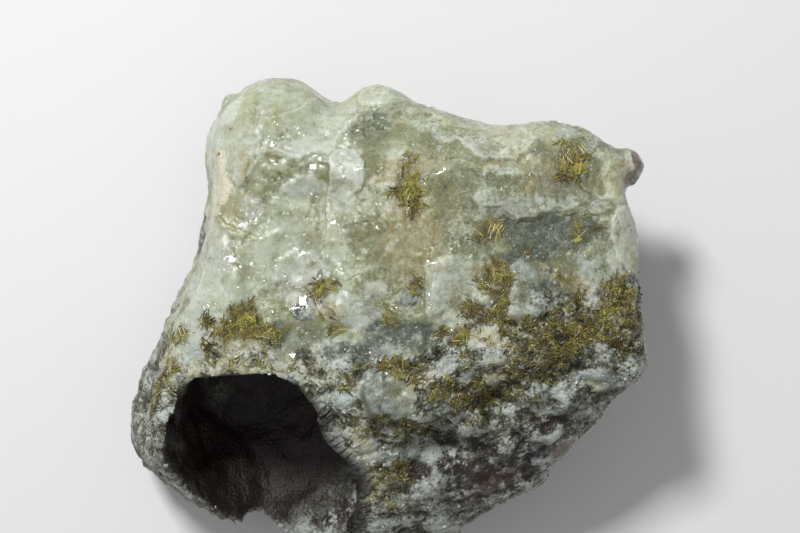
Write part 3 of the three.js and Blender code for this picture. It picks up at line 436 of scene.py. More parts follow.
def cells(points, size, seed):
    """Each point's distance to the nearest of many scattered seeds, that seed and its random numbers."""
    scaled = points / size
    home = np.floor(scaled)
    nearest = np.full(len(points), np.inf)
    centre = np.zeros_like(points)
    number = np.zeros_like(points)
    for step in np.ndindex(3, 3, 3):
        cell = home + np.array(step) - 1
        middle = cell + hashed(cell, seed)
        distance = np.linalg.norm(scaled - middle, axis=1)
        closer = distance < nearest
        nearest[closer] = distance[closer]
        centre[closer] = middle[closer]
        number[closer] = hashed(cell[closer], seed + 91)
    return nearest, centre * size, number


def warped(points, size, amount, seed):
    """The points, each pushed about by soft noise."""
    push = np.stack([clouds(points, size, seed + axis, 2) for axis in range(3)], axis=1)
    return points + amount * push


def scallops(points, size, seed):
    """Concave scoops that meet in sharp ridges, between 0 in a scoop and about 1 on a ridge."""
    distance, _, _ = cells(points, size, seed)
    return distance ** 2


def shards(points, size, seed):
    """Flat tilted facets with steps between them, between about -1 and 1."""
    _, centre, number = cells(points, size, seed)
    return np.sum((points - centre) * (2 * number - 1), axis=1) / size * 1.6


def zone_mask(points, zones, seed, ragged):
    """How strongly each point lies in any of the zones, with ragged edges."""
    x = points[:, 0] + ragged * clouds(points, 2.4, seed)
    y = points[:, 1] + ragged * clouds(points, 2.4, seed + 7)
    mask = np.zeros(len(points))
    for zone_x, zone_y, half_x, half_y, strength, *turn in zones:
        angle = math.radians(sum(turn))
        c, s = math.cos(angle), math.sin(angle)
        u = ((x - zone_x) * c + (y - zone_y) * s) / half_x
        v = ((y - zone_y) * c - (x - zone_x) * s) / half_y
        mask = np.maximum(mask, strength * (1 - smooth(np.hypot(u, v), 0.6, 1.45)))
    return mask


def beside(place, start, end):
    """How far along a segment the nearest spot on it lies, from 0 to 1, how far off that is, and the side.

    The side is above 0 on the left of the segment.
    """
    step = np.subtract(end, start)
    offset = place - start
    share = np.clip(offset @ step / (step @ step), 0, 1)
    distance = np.linalg.norm(offset - share[:, None] * step, axis=1)
    return share, distance, step[0] * offset[:, 1] - step[1] * offset[:, 0]


def ledge_rise(points, line, rise, fade):
    """How much a ledge lifts each point: most just left of its line, nothing on its right."""
    best = np.full(len(points), np.inf)
    signed = np.zeros(len(points))
    along = np.zeros(len(points))
    for index, (start, end) in enumerate(zip(line, line[1:])):
        share, distance, side = beside(points[:, :2], start, end)
        closer = distance < best
        best[closer] = distance[closer]
        signed[closer] = np.where(side > 0, distance, -distance)[closer]
        along[closer] = ((index + share) / (len(line) - 1))[closer]
    taper = np.clip(np.minimum(along, 1 - along) * 5, 0, 1)
    lifted = smooth(signed, -LEDGE_EDGE, LEDGE_EDGE)
    return rise * taper * lifted * np.exp(-np.maximum(signed, 0) / fade)


def inside_distance(points, outline):
    """How far inside the outline each point lies, seen from above; negative outside."""
    place = points[:, :2]
    nearest = np.full(len(points), np.inf)
    inside = np.zeros(len(points), bool)
    for start, end in zip(outline, outline[1:] + outline[:1]):
        _, distance, side = beside(place, start, end)
        nearest = np.minimum(nearest, distance)
        crosses = (start[1] > place[:, 1]) != (end[1] > place[:, 1])
        inside ^= crosses & ((side > 0) == (end[1] > start[1]))
    return np.where(inside, nearest, -nearest)


def speck_mask(points, specks):
    """How strongly each point lies in any of the specks, each on the uppermost skin at its place."""
    mask = np.zeros(len(points))
    for speck_x, speck_y, radius in specks:
        near = np.hypot(points[:, 0] - speck_x, points[:, 1] - speck_y) < 0.4
        top = points[near][np.argmax(points[near][:, 2])]
        mask = np.maximum(mask, 1 - smooth(np.linalg.norm(points - top, axis=1), 0.6 * radius, 1.5 * radius))
    return mask


def flake_shares(points):
    """For every flake, how far inside its ragged outline each point lies, and how proud it is there."""
    ragged = warped(points, 1.3, 0.3, 61)
    shares = {}
    for name, (_, _, _, side, outline) in FLAKES.items():
        distance = inside_distance(ragged, outline)
        towards = np.array([math.cos(math.radians(side)), math.sin(math.radians(side))])
        across = np.array(outline) @ towards
        level = (ragged[:, :2] @ towards - across.min()) / (across.max() - across.min())
        shares[name] = (distance, smooth(level, -0.1, 0.9))
    return shares


# ---------------------------------------------------------------- shader expressions

class Wire:
    """An output socket that takes part in Python arithmetic."""

    def __init__(self, shader, socket):
        self.shader = shader
        self.socket = socket

    def __add__(self, other):
        return self.shader.math("ADD", self, other)

    def __sub__(self, other):
        return self.shader.math("SUBTRACT", self, other)

    def __rsub__(self, other):
        return self.shader.math("SUBTRACT", other, self)

    def __mul__(self, other):
        return self.shader.math("MULTIPLY", self, other)

    __radd__ = __add__
    __rmul__ = __mul__


class Shader:
    """A node material under construction."""

    def __init__(self, name):
        self.material = bpy.data.materials.new(name)
        self.material.use_nodes = True
        self.tree = self.material.node_tree
        self.tree.nodes.clear()

    def node(self, kind, settings=(), inputs=(), output=0):
        """Adds a node, sets it up, fills its sockets and returns one of its outputs, if it has any."""
        added = self.tree.nodes.new(kind)
        for name, value in dict(settings).items():
            if name == "stops":
                self.fill_ramp(added.color_ramp, value)
            else:
                setattr(added, name, value)
        for name, value in dict(inputs).items():
            if isinstance(value, Wire):
                self.tree.links.new(value.socket, added.inputs[name])
            else:
                added.inputs[name].default_value = value
        return Wire(self, added.outputs[output]) if added.outputs else None

    @staticmethod
    def fill_ramp(ramp, stops):
        while len(ramp.elements) < len(stops):
            ramp.elements.new(0.5)
        for element, (position, color) in zip(ramp.elements, stops):
            element.position = position
            element.color = (*color, 1)

    def math(self, operation, a, b=0):
        return self.node("ShaderNodeMath", {"operation": operation}, {0: a, 1: b})

    def vector(self, operation, a, b, output=0):
        return self.node("ShaderNodeVectorMath", {"operation": operation}, {0: a, 1: b}, output)

    def other(self, wire, output):
        """Another output of the node that a wire comes from."""
        return Wire(self, wire.socket.node.outputs[output])

    def flat(self, place):
        """The X and the Y of coordinates."""
        x = self.node("ShaderNodeSeparateXYZ", {}, {"Vector": place}, "X")
        return x, self.other(x, "Y")

    def attribute(self, name):
        return self.node("ShaderNodeAttribute", {"attribute_name": name}, output="Fac")

    def millimetres(self):
        """Object coordinates in mm."""
        place = self.node("ShaderNodeTexCoord", output="Object")
        return self.vector("MULTIPLY", place, (1 / MM,) * 3)

    def noise(self, place, size, detail=4, roughness=0.55, distortion=0.0, output="Fac"):
        values = {"Vector": place, "Scale": 1 / size, "Detail": detail}
        values |= {"Roughness": roughness, "Distortion": distortion}
        return self.node("ShaderNodeTexNoise", {}, values, output)

    def voronoi(self, place, size, output="Distance", feature="F1"):
        values = {"Vector": place, "Scale": 1 / size}
        return self.node("ShaderNodeTexVoronoi", {"feature": feature}, values, output)

    def shift(self, place, size, amount):
        """Coordinates pushed about by soft noise, by up to about that amount in mm."""
        centred = self.vector("SUBTRACT", self.noise(place, size, 2, 0.5, output="Color"), MID_GREY)
        push = self.node("ShaderNodeVectorMath", {"operation": "SCALE"}, {0: centred, "Scale": 2 * amount})
        return self.vector("ADD", place, push)

    def shards(self, place, size):
        """The height of flat tilted facets of about that size, between about -1 and 1."""
        cell = self.voronoi(place, size, "Position")
        tilt = self.vector("SUBTRACT", self.other(cell, "Color"), MID_GREY)
        return self.vector("DOT_PRODUCT", self.vector("SUBTRACT", place, cell), tilt, "Value") * (2 / size)

    def step(self, value, low, high):
        """Rises smoothly from 0 at low to 1 at high."""
        settings = {"interpolation_type": "SMOOTHSTEP"}
        values = {"Value": value, "From Min": low, "From Max": high}
        return self.node("ShaderNodeMapRange", settings, values, "Result")

    def ramp(self, value, stops):
        return self.node("ShaderNodeValToRGB", {"stops": stops}, {"Fac": value}, "Color")

    def mix(self, factor, a, b, blend="MIX"):
        """A colour between a and b."""
        a, b = (value if isinstance(value, Wire) else (*value, 1) for value in (a, b))
        settings = {"data_type": "RGBA", "blend_type": blend}
        return self.node("ShaderNodeMix", settings, {0: factor, 6: a, 7: b}, 2)

    def bump(self, height, distance, strength=1):
        return self.node("ShaderNodeBump", {}, {"Height": height, "Distance": distance, "Strength": strength})

    def principled(self, inputs):
        return self.node("ShaderNodeBsdfPrincipled", {}, inputs, "BSDF")

    def finish(self, surface):
        self.node("ShaderNodeOutputMaterial", {}, {"Surface": surface})
        return self.material


# ---------------------------------------------------------------- settings

def colour(name, value, text):
    return bpy.props.FloatVectorProperty(
        name=name, description=text, subtype="COLOR", size=3, min=0, max=1, default=value
    )


def length(name, value, text):
    return bpy.props.FloatProperty(name=name, description=text, default=value, unit="LENGTH", precision=5)


def number(name, value, text):
    return bpy.props.IntProperty(name=name, description=text, default=value, min=1)


class StoneSettings(bpy.types.PropertyGroup):
    """Sizes and colours of the stone's skin."""

    voxel: length("Skin voxel", 0.69 * MM, "Edge length of the remeshed skin before its face is refined")
    scallop: length("Scallop depth", 0.55 * MM, "Depth of the shell-shaped fractures of the prehnite")
    grain: length("Grain height", 0.85 * MM, "Height of the lumps of the grey matrix")
    pale: colour("Pale prehnite", (0.475, 0.525, 0.405), "Milky green of the prehnite")
    middle: colour("Green prehnite", (0.34, 0.37, 0.25), "Body colour of the prehnite")
    deep: colour("Deep prehnite", (0.205, 0.215, 0.10), "Clear olive green where the prehnite is thick")
    veil: colour("Veil", (0.59, 0.61, 0.54), "White of the healed fractures")
    slate: colour("Slate", (0.082, 0.101, 0.070), "Dark blue-grey of the quartz-rich patches")
    rust: colour("Rust", (0.34, 0.28, 0.115), "Iron stain")
    cream: colour("Cream", (0.74, 0.69, 0.52), "Opaque cream rind")
    # Also the colour of painted shade on the low matrix, in its crevices and in the hollow.
    umber: colour("Umber", (0.028, 0.017, 0.011), "Brown weathered skin")
    honey: colour("Honey", (0.40, 0.39, 0.20), "Warmer patches of the prehnite")
    haze: colour("Haze", (0.41, 0.46, 0.445), "Milky blue-white quartz")
    chestnut: colour("Chestnut", (0.14, 0.072, 0.042), "Glossy red-brown coating")
    olive: colour("Olive", (0.13, 0.11, 0.03), "Ground between the epidote blades")
    # Painted shade: the near-black that stands for the shadow inside the hollow.
    hollow_shade: colour("Crust", (0.018, 0.012, 0.009), "Dark lining of the hollow")


class EpidoteSettings(bpy.types.PropertyGroup):
    """Numbers, sizes and colours of the epidote blades."""

    sprays: number("Sprays", 400, "Sheaves of blades on the prehnite")
    felt: number("Felt blades", 9500, "Blades in the felted band")
    grains: number("Grains", 3600, "Grains that stand out of the matrix")
    longest: length("Longest blade", 2.4 * MM, "Length of the longest spray blades")
    width: length("Blade width", 0.56 * MM, "Width of a typical spray blade")
    dark: colour("Dark epidote", (0.026, 0.025, 0.005), "Darkest blades")
    green: colour("Green epidote", (0.122, 0.112, 0.022), "Common blades")
    yellow: colour("Yellow epidote", (0.41, 0.37, 0.085), "Palest blades")
    brown: colour("Brown epidote", (0.075, 0.060, 0.015), "Weathered blades")
    golden: colour("Golden epidote", (0.165, 0.105, 0.022), "Golden brown film on some blades")


class StudioSettings(bpy.types.PropertyGroup):
    """The floor and the lights."""

    floor: colour("Floor", (0.76, 0.76, 0.765), "Plain pale floor")
    key: bpy.props.FloatProperty(name="Key light", description="Power of the lamp", default=2.6, unit="POWER")
    fill: bpy.props.FloatProperty(name="Fill", description="Strength of the room light", default=0.36)


# ---------------------------------------------------------------- helpers for pieces

def select_only(piece):
    bpy.ops.object.select_all(action="DESELECT")
    piece.select_set(True)
    bpy.context.view_layer.objects.active = piece


def apply_modifier(piece, kind, **settings):
    select_only(piece)
    bpy.ops.object.modifier_add(type=kind)
    modifier = piece.modifiers[-1]
    for name, value in settings.items():
        setattr(modifier, name, value)
    bpy.ops.object.modifier_apply(modifier=modifier.name)


def vectors(items, name):
    """A vector of every vertex or face of a mesh, one to a row."""
    values = np.empty(len(items) * 3)
    items.foreach_get(name, values)
    return values.reshape(-1, 3)


def vertex_array(mesh):
    return vectors(mesh.vertices, "co")


def vertex_normals(mesh):
    return vectors(mesh.vertex_normals, "vector")


def vertex_areas(mesh):
    """The skin's area shared out to its vertices."""
    area = np.empty(len(mesh.polygons))
    corners = np.empty(len(mesh.polygons), np.int32)
    owners = np.empty(len(mesh.loops), np.int32)
    mesh.polygons.foreach_get("area", area)
    mesh.polygons.foreach_get("loop_total", corners)
    mesh.loops.foreach_get("vertex_index", owners)
    return np.bincount(owners, np.repeat(area / corners, corners), len(mesh.vertices))


def set_vertices(mesh, points):
    mesh.vertices.foreach_set("co", points.ravel())
    mesh.update()


def store(mesh, name, values):
    mesh.attributes.new(name, "FLOAT", "POINT").data.foreach_set("value", values.astype(np.float32))


def load_values(mesh, name):
    values = np.empty(len(mesh.vertices))
    mesh.attributes[name].data.foreach_get("value", values)
    return values


def joined_copies(name, template, turns, centres):
    """One mesh of many copies of a template, each turned and scaled by its 3 x 3 matrix and then placed."""
    points, faces = template
    count = len(centres)
    moved = np.einsum("nij,vj->nvi", turns, points) + centres[:, None]
    mesh = bpy.data.meshes.new(name)
    starts = np.arange(count) * len(points)
    everything = [[index + start for index in face] for start in starts.tolist() for face in faces]
    mesh.from_pydata(moved.reshape(-1, 3).tolist(), [], everything)
    mesh.validate()
    piece = bpy.data.objects.new(name, mesh)
    bpy.context.scene.collection.objects.link(piece)
    return piece


def template_of(piece):
    """The points and faces of a modelled piece, which is then removed."""
    mesh = piece.data
    points = vertex_array(mesh)
    faces = [list(polygon.vertices) for polygon in mesh.polygons]
    bpy.data.objects.remove(piece)
    return points, faces


# ---------------------------------------------------------------- the stone

def stone_copy():
    """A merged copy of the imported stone."""
    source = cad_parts[NODE]
    stone = bpy.data.objects.new("prehnite_skin", source.data.copy())
    bpy.context.scene.collection.objects.link(stone)
    stone.data.materials.clear()
    select_only(stone)
    bpy.ops.object.mode_set(mode="EDIT")
    bpy.ops.mesh.select_all(action="SELECT")
    bpy.ops.mesh.remove_doubles(threshold=0.001 * MM)
    bpy.ops.object.mode_set(mode="OBJECT")
    return stone


def refine_face(stone):
    """Splits the faces that look up, where the detail shows most."""
    mesh = stone.data
    facing = vectors(mesh.polygons, "normal")[:, 2]
    height = vectors(mesh.polygons, "center")[:, 2]
    bpy.ops.object.mode_set(mode="EDIT")
    bpy.ops.mesh.select_all(action="DESELECT")
    bpy.ops.object.mode_set(mode="OBJECT")
    mesh.polygons.foreach_set("select", (facing > FINE_FACING) & (height > FINE_HEIGHT * MM))
    bpy.ops.object.mode_set(mode="EDIT")
    bpy.ops.mesh.select_mode(type="FACE")
    bpy.ops.mesh.subdivide(number_cuts=1, smoothness=0)
    bpy.ops.object.mode_set(mode="OBJECT")


def hollow_mask(points, normals):
    """1 on the walls of the hollow, which look towards its middle."""
    inward = HOLLOW_MIDDLE - points
    distance = np.linalg.norm(inward, axis=1)
    facing = np.sum(inward * normals, axis=1) / distance
    near = 1 - smooth(np.linalg.norm(inward / HOLLOW_REACH, axis=1), 1.0, 1.15)
    return smooth(facing, 0.15, 0.5) * near


def matrix_mask(points):
    """1 on the grey matrix, below its line on the face and low on every wall."""
    line = np.array(MATRIX_LINE)
    ragged = 2.2 * clouds(points, 7, 31)
    below = np.interp(points[:, 0], line[:, 0], line[:, 1]) - points[:, 1] + ragged
    deeper = 0.5 * np.clip(27 - points[:, 2], 0, 30)
    face = smooth(below + deeper, -4.5, 5.5)
    low = smooth(13 - points[:, 2] + 2 * ragged, -3, 4)
    return np.maximum(face, low)


def lump_pits(points):
    """Two values that are 0 on the tops of the large and small matrix lumps and rise to 1 between them."""
    large = scallops(warped(points, 5, 1.1, 3), 3.8, 12)
    small = scallops(warped(points, 2, 0.4, 13), 1.7, 14)
    return large, small


def carve(stone, settings):
    """Moves the skin in and out into scallops, flakes, ledges, lumps and grains.

    Each relief is a share of the scallop depth or the grain height, and has lumps of a size in mm and a seed.
    """
    mesh = stone.data
    points = vertex_array(mesh) / MM
    normals = vertex_normals(mesh)
    matrix = matrix_mask(points)
    hollow = hollow_mask(points, normals)
    upward = smooth(normals[:, 2], 0.1, 0.5) * smooth(points[:, 2], *FACE_RISE)
    bent = warped(points, 5, 1.1, 3)
    scallop = settings.scallop / MM
    grain = settings.grain / MM

    broken = smooth(clouds(points, 9, 9), -0.2, 0.8)
    glassy = 0.5 * scallop * clouds(points, 6.5, 4, 2)
    glassy += 0.9 * broken * scallop * (scallops(bent, 6.0, 5) - 0.35)
    glassy += 0.42 * broken * scallop * shards(bent, 2.6, 8)
    glassy += 0.22 * (0.3 + broken) * scallop * shards(warped(points, 1.2, 0.2, 19), 1.1, 20)
    sugary = smooth(clouds(points, 6, 24) + 0.03 * points[:, 0], -0.3, 0.5)
    glassy += 0.12 * sugary * scallop * clouds(points, 1.1, 25, 2)
    large, small = lump_pits(points)
    lumpy = 1.6 * grain * (0.4 - large) + 0.7 * grain * (0.4 - small)
    lumpy += 0.18 * grain * clouds(points, 0.8, 15, 2)
    rough_back = 0.9 * clouds(points, 9, 17) + 0.6 * (scallops(bent, 8, 18) - 0.35)
    crusty = 0.5 * grain * (0.4 - scallops(points, 2.1, 21)) + 0.5 * grain * clouds(points, 3, 22)

    move = (1 - matrix) * glassy + matrix * lumpy + (1 - upward) * (1 - hollow) * rough_back * 0.6
    for line, rise, fade in LEDGES:
        move += upward * ledge_rise(points, line, rise, fade)
    for name, (distance, proud) in flake_shares(points).items():
        rise = FLAKES[name][2]
        move += upward * rise * proud * smooth(distance, -0.05, 0.18)
    left_wall = smooth(-normals[:, 0], 0.35, 0.75) * (1 - matrix)
    move += 0.5 * left_wall * np.abs((points[:, 2] / 1.9 + 0.9 * clouds(points, 6, 35, 2)) % 1 - 0.5)
    move += NUB_FILL * np.exp(-np.sum(((points - NUB_GROOVE) / NUB_REACH) ** 2, axis=1))
    lip = smooth(points[:, 0], -14, -7) * smooth(points[:, 2], 16, 28)
    move = move * (1 - hollow) + (crusty + LIP_FILL * lip) * hollow
    resting = smooth(points[:, 2], 0.2, 1.6)
    points = points + normals * (move * resting)[:, None]
    low, high = (np.array(corner) / MM for corner in CAD_BOX)
    points = np.clip(points, low, high)
    set_vertices(mesh, points * MM)


def paint(stone, points, normals):
    """Stores on the skin how much of each finish, painted shade and painted highlight it has, by its points
    and normals before the carving.
    """
    mesh = stone.data
    hollow = hollow_mask(points, normals)
    front = smooth(normals[:, 2], -0.25, 0.15) * smooth(points[:, 2], *FACE_RISE) * (1 - hollow)
    masks = {name: zone_mask(points, ZONES[name], *edge) for name, edge in ZONE_EDGES.items()}
    masks["cream"] = np.zeros(len(points))
    # Brown weathered skin together with painted shade on the low matrix, in crevices and on the hollow's
    # floor, faded out below about 6 to 10 mm.
    umber = masks.pop("umber") * smooth(points[:, 2], 6, 10)
    rim = np.zeros(len(points))
    matrix = matrix_mask(points)
    level = smooth(normals[:, 2], 0.05, 0.4)
    for name, (distance, proud) in flake_shares(points).items():
        channel, strength, rise, _, _ = FLAKES[name]
        edge = CRISP_EDGE if rise > CRISP_RISE else SOFT_EDGE
        share = smooth(distance, *edge) * (0.5 + 0.5 * proud)
        for other in ("veil", "deep", "slate", "haze"):
            if other != channel:
                masks[other] = masks[other] * (1 - 0.7 * min(strength, 1) * share)
        if channel == "cream":
            torn = distance + 1.1 * clouds(points, 3.2, 69) - 0.2
            share = smooth(torn, -0.3, 1.3) * smooth(points[:, 2] + 4 * clouds(points, 5, 67), 24, 35)
        masks[channel] = np.maximum(masks[channel], strength * share)
        matrix = matrix * (1 - 0.85 * level * smooth(distance, -0.2, 0.5))
        # Painted highlight: the edges of proud flakes are lightened as if by light scattered in them.
        if rise > 0:
            rim = np.maximum(rim, proud * np.exp(-((distance - 0.2) / 0.3) ** 2))
    masks["felt"] = masks["felt"] * (1 - 0.7 * np.clip(masks["slate"] - 0.35, 0, 1))
    for name, mask in masks.items():
        store(mesh, name, front * mask)
    store(mesh, "rim", front * rim)
    store(mesh, "matrix", matrix)
    store(mesh, "hollow", hollow)
    # Painted shade, with the matrix's own dark: how far each point lies between lumps, which darkens its
    # colour there.
    large, small = lump_pits(points)
    store(mesh, "pit", np.clip(0.65 * large + 0.5 * small, 0, 1))
    lights = 0.3 * masks["veil"] + 0.22 * masks["haze"] - 0.2 * masks["slate"]
    store(mesh, "patch", 0.2 * clouds(points, 3.0, 33, 2) + front * lights)
    behind = (1 - front) * smooth(clouds(points, 11, 53), -0.1, 0.8)
    umber = np.maximum(umber, behind) * (1 - hollow)
    umber = np.maximum(umber, speck_mask(points, SPECKS))
    store(mesh, "umber", umber)
    grit = matrix * (1 - hollow) * (0.15 + 0.85 * front) * (1 - 0.6 * masks["felt"]) * (1 - 0.9 * umber)
    grit *= smooth(points[:, 2], 1, 3)
    store(mesh, "grit", grit)


def fan(s, place, centre_x, centre_y, reach):
    """Fine fibres that spread from a middle, as a value from 0 to 1."""
    across, upward = s.flat(s.vector("SUBTRACT", place, (centre_x, centre_y, 0)))
    angle = s.math("ARCTAN2", upward, across)
    radius = s.math("SQRT", across * across + upward * upward)
    polar = s.node("ShaderNodeCombineXYZ", {}, {"X": angle * 16, "Y": radius * 0.5, "Z": centre_x})
    fibres = s.step(s.noise(polar, 1, 3, 0.7), 0.54, 0.66)
    return fibres * (1 - s.step(radius, 0.35 * reach, reach)) * s.step(radius, 0.2, 0.7)


def streaks(s, place, lean, stretch):
    """Thin broken lines that run one way through the prehnite, as a value from 0 to 1."""
    across, upward = s.flat(place)
    run = across * math.cos(lean) + upward * math.sin(lean)
    side = upward * math.cos(lean) - across * math.sin(lean)
    lines = s.node("ShaderNodeCombineXYZ", {}, {"X": run * 0.45, "Y": side * stretch, "Z": lean})
    return s.step(s.noise(lines, 1, 3, 0.6, 0.4), 0.62, 0.7)


def prehnite_colour(s, settings, place, bent):
    """The colour of the glassy part, how sugary it is, three fine patterns and where epidote covers it."""
    cloudy = s.noise(bent, 8, 3)
    hue = s.noise(bent, 11, 2)
    fleck = s.noise(bent, 1.5, 6, 0.68)
    fine = s.noise(place, 0.42, 4, 0.7)
    wobble = (fleck - 0.5) * 1.1 + (fine - 0.5) * 0.6
    across, _ = s.flat(place)
    sugary = s.step(across * 0.012 + hue, 0.3, 0.8)
    planes = s.shards(bent, 4.6) * 0.08 + s.shards(s.shift(place, 1.5, 0.5), 1.7) * 0.09
    planes = planes + s.shards(s.shift(place, 0.8, 0.2), 0.8) * (sugary * 0.05 + 0.05)
    planes = planes + s.shards(s.shift(place, 0.5, 0.1), 0.36) * (sugary * 0.04 + 0.02)
    contrast = sugary * 0.8 + 1
    tone = (cloudy * 0.7 + fleck * 0.3 - 0.5) * contrast + 0.495 - sugary * 0.02
    tone = tone + (fine - 0.5) * (sugary * 0.6 + 0.2) + planes * (sugary * 0.7 + 0.6)
    color = s.ramp(tone, [
        (0.34, settings.deep), (0.45, settings.middle), (0.56, settings.pale), (0.74, settings.veil),
    ])
    color = s.mix(s.step(hue + wobble * 0.1, 0.52, 0.72) * 0.6, color, settings.honey)
    color = s.mix(s.step(s.attribute("deep") + wobble * 0.7 - planes, 0.05, 0.9), color, settings.deep)
    color = s.mix(s.step(s.attribute("slate") + wobble - planes, 0.05, 0.95), color, settings.slate)
    white = s.mix(s.step(hue + wobble * 0.15, 0.56, 0.42) * 0.4, settings.veil, settings.haze)
    veil = s.step(s.attribute("veil") + wobble * 1.3 + planes * 2, 0.1, 1.15)
    color = s.mix(veil * 0.8, color, white)
    color = s.mix(s.step(s.attribute("haze") + wobble * 1.2, 0.2, 1.15) * 0.8, color, settings.haze)
    # Painted highlight along the edges of proud flakes.
    color = s.mix(s.attribute("rim") * fleck * 0.7, color, settings.veil)
    dust = s.step(s.noise(place, 0.36, 3, 0.8), 0.58, 0.72)
    color = s.mix(dust * (sugary * 0.45 + 0.3), color, settings.veil)
    dots = (1 - s.step(s.voronoi(s.shift(place, 0.3, 0.2), 0.55), 0.14, 0.3)) * s.step(fleck, 0.5, 0.6)
    color = s.mix(dots * (sugary * 0.65 + 0.15), color, settings.veil)
    edge = s.voronoi(s.shift(place, 1.6, 0.7), 3.1, feature="DISTANCE_TO_EDGE")
    crack = (1 - s.step(edge, 0.0, 0.04)) * s.step(s.noise(place, 2.6, 2), 0.5, 0.6)
    fibres = crack * 0.25 + streaks(s, place, 1.0, 4.5) * 0.3 + streaks(s, place, 2.2, 4.5) * 0.3
    fibres = fibres + streaks(s, place, 0.2, 3.5) * sugary * 0.4
    for centre_x, centre_y, reach in FANS:
        fibres = fibres + fan(s, place, centre_x, centre_y, reach) * 0.55
    color = s.mix(fibres * (1 - s.step(s.attribute("slate"), 0.2, 0.6) * 0.8), color, settings.veil)
    rust = s.step(s.attribute("rust") + wobble * 2.8 - planes * 2, 0.2, 1.2) * 0.64
    color = s.mix(rust, color, settings.rust)
    ground = s.step(s.attribute("felt") + s.attribute("olive") + wobble * 1.1, 0.3, 0.9)
    color = s.mix(ground * 0.6, color, settings.olive)
    return color, sugary, fine, fleck, wobble, ground


def rock_colour(s, settings, place, bent, ground, wobble):
    """The colour of all that isn't glassy, with painted shade in its pits, crevices and hollow, and how much
    cream rind and glossy brown coat there is.
    """
    pit = s.attribute("pit")
    speck = s.voronoi(s.shift(place, 0.35, 0.15), 0.42, "Color")
    speck = s.node("ShaderNodeSeparateColor", {}, {"Color": speck}, "Red")
    crumbs = s.noise(place, 0.8, 6, 0.75)
    # Painted shade: darker in the pits between lumps and lighter on their tops, over the matrix's own mottle.
    mottle = crumbs * 0.9 + speck * 0.32 - 0.13 + s.attribute("patch") + (0.42 - pit) * 0.75
    color = s.ramp(mottle, MATRIX_TONES)
    blue = s.step(s.noise(bent, 5, 2) * 0.5 + s.attribute("haze") * 0.5, 0.3, 0.6)
    color = s.mix(blue * 0.8, color, BLUE_TINT, "MULTIPLY")
    tan = s.step(s.attribute("rust") + wobble, 0.1, 1.0)
    color = s.mix(tan * 0.8, color, TAN_TINT, "MULTIPLY")
    # The felt too is darkened in the pits, as painted shade.
    lichen = crumbs * 0.8 + speck * 0.35 + (0.35 - pit) * 0.25
    felt = s.ramp(lichen, FELT_TONES)
    color = s.mix(ground * s.step(crumbs + pit * 0.3, 0.42, 0.6) * 0.95, color, felt)
    # Brown weathered coat with painted shade: it darkens the low steep matrix, its crevices and the hollow's
    # floor, and gathers in the pits.
    edge_noise = wobble * 0.35
    umber = s.step(s.attribute("umber") + edge_noise, 0.2, 0.95)
    coating_and_shade = s.ramp(crumbs * 0.8 + speck * 0.3 - pit * 0.2, [
        (0.36, COATING_AND_SHADE_DARK), (0.5, settings.umber), (0.62, COATING_AND_SHADE_WORN), (0.74, COATING_AND_SHADE_BARE),
    ])
    color = s.mix(umber * s.step(pit + (0.5 - crumbs) * 1.8, 0.02, 0.34), color, coating_and_shade)
    chestnut = s.step(s.attribute("chestnut") + edge_noise, 0.25, 0.75)
    color = s.mix(chestnut * (0.3 + crumbs * 0.9), color, settings.chestnut)
    # Painted shade: the hollow's walls are near black with brown specks, standing for the shadow inside it.
    hollow_shade = s.mix(s.step(speck, 0.6, 1.0), settings.hollow_shade, settings.umber)
    color = s.mix(s.attribute("hollow"), color, hollow_shade)
    rind = s.ramp(s.noise(bent, 2.4, 4), [
        (0.36, settings.rust), (0.43, settings.cream), (0.58, settings.cream), (0.66, settings.veil),
    ])
    cream = s.step(s.attribute("cream") + wobble * 1.2, 0.25, 0.95) * 0.85
    return s.mix(cream * (1 - umber), color, rind), cream, chestnut


def stone_material(settings):
    """Glassy prehnite and granular matrix in one material, shared out by the skin's values."""
    s = Shader("prehnite_and_matrix")
    place = s.millimetres()
    bent = s.shift(place, 3, 0.8)
    prehnite, sugary, fine, fleck, wobble, ground = prehnite_colour(s, settings, place, bent)
    granite, cream, chestnut = rock_colour(s, settings, place, bent, ground, wobble)

    islands = s.noise(bent, 2.8, 4, 0.6)
    matte = s.step(s.attribute("matrix") + (islands - 0.5) * 2.4 + wobble * 0.3, 0.35, 0.65)
    for cover in (s.step(s.attribute("umber"), 0.4, 0.7), cream, chestnut, s.attribute("hollow")):
        matte = s.math("MAXIMUM", matte, cover)

    patchy = s.step(s.attribute("glint") * 0.3 + s.noise(place, 2.2, 3), 0.53, 0.63)
    facets = s.shards(s.shift(place, 0.9, 0.25), 0.5) * 0.4 + s.shards(place, 0.28) * 0.14
    facets = facets * (patchy * 1.3 + sugary * 0.3 + 0.3) + fine * (sugary * 0.35 + 0.14) + fleck * 0.12
    grains = s.voronoi(s.shift(place, 0.6, 0.2), 0.55) * -0.5 + fine * 0.6
    glass = s.principled({
        "Base Color": prehnite,
        "Roughness": 0.38 - patchy * 0.30 + (fine - 0.5) * 0.2,
        "IOR": 1.62,
        "Subsurface Weight": 0.9,
        "Subsurface Radius": (1.0, 1.05, 0.8),
        "Subsurface Scale": 2.4 * MM,
        "Coat Weight": patchy * 0.8,
        "Coat Roughness": 0.04,
        "Normal": s.bump(facets, 0.3 * MM, 0.8),
    })
    rock = s.principled({
        "Base Color": granite,
        "Roughness": 0.28 + fine * 0.3 - chestnut * 0.2,
        "IOR": 1.55,
        "Subsurface Weight": 0.35,
        "Subsurface Radius": (1.0, 1.0, 0.8),
        "Subsurface Scale": 0.35 * MM,
        "Normal": s.bump(grains, 0.3 * MM),
    })
    return s.finish(s.node("ShaderNodeMixShader", {}, {"Fac": matte, 1: glass, 2: rock}, "Shader"))


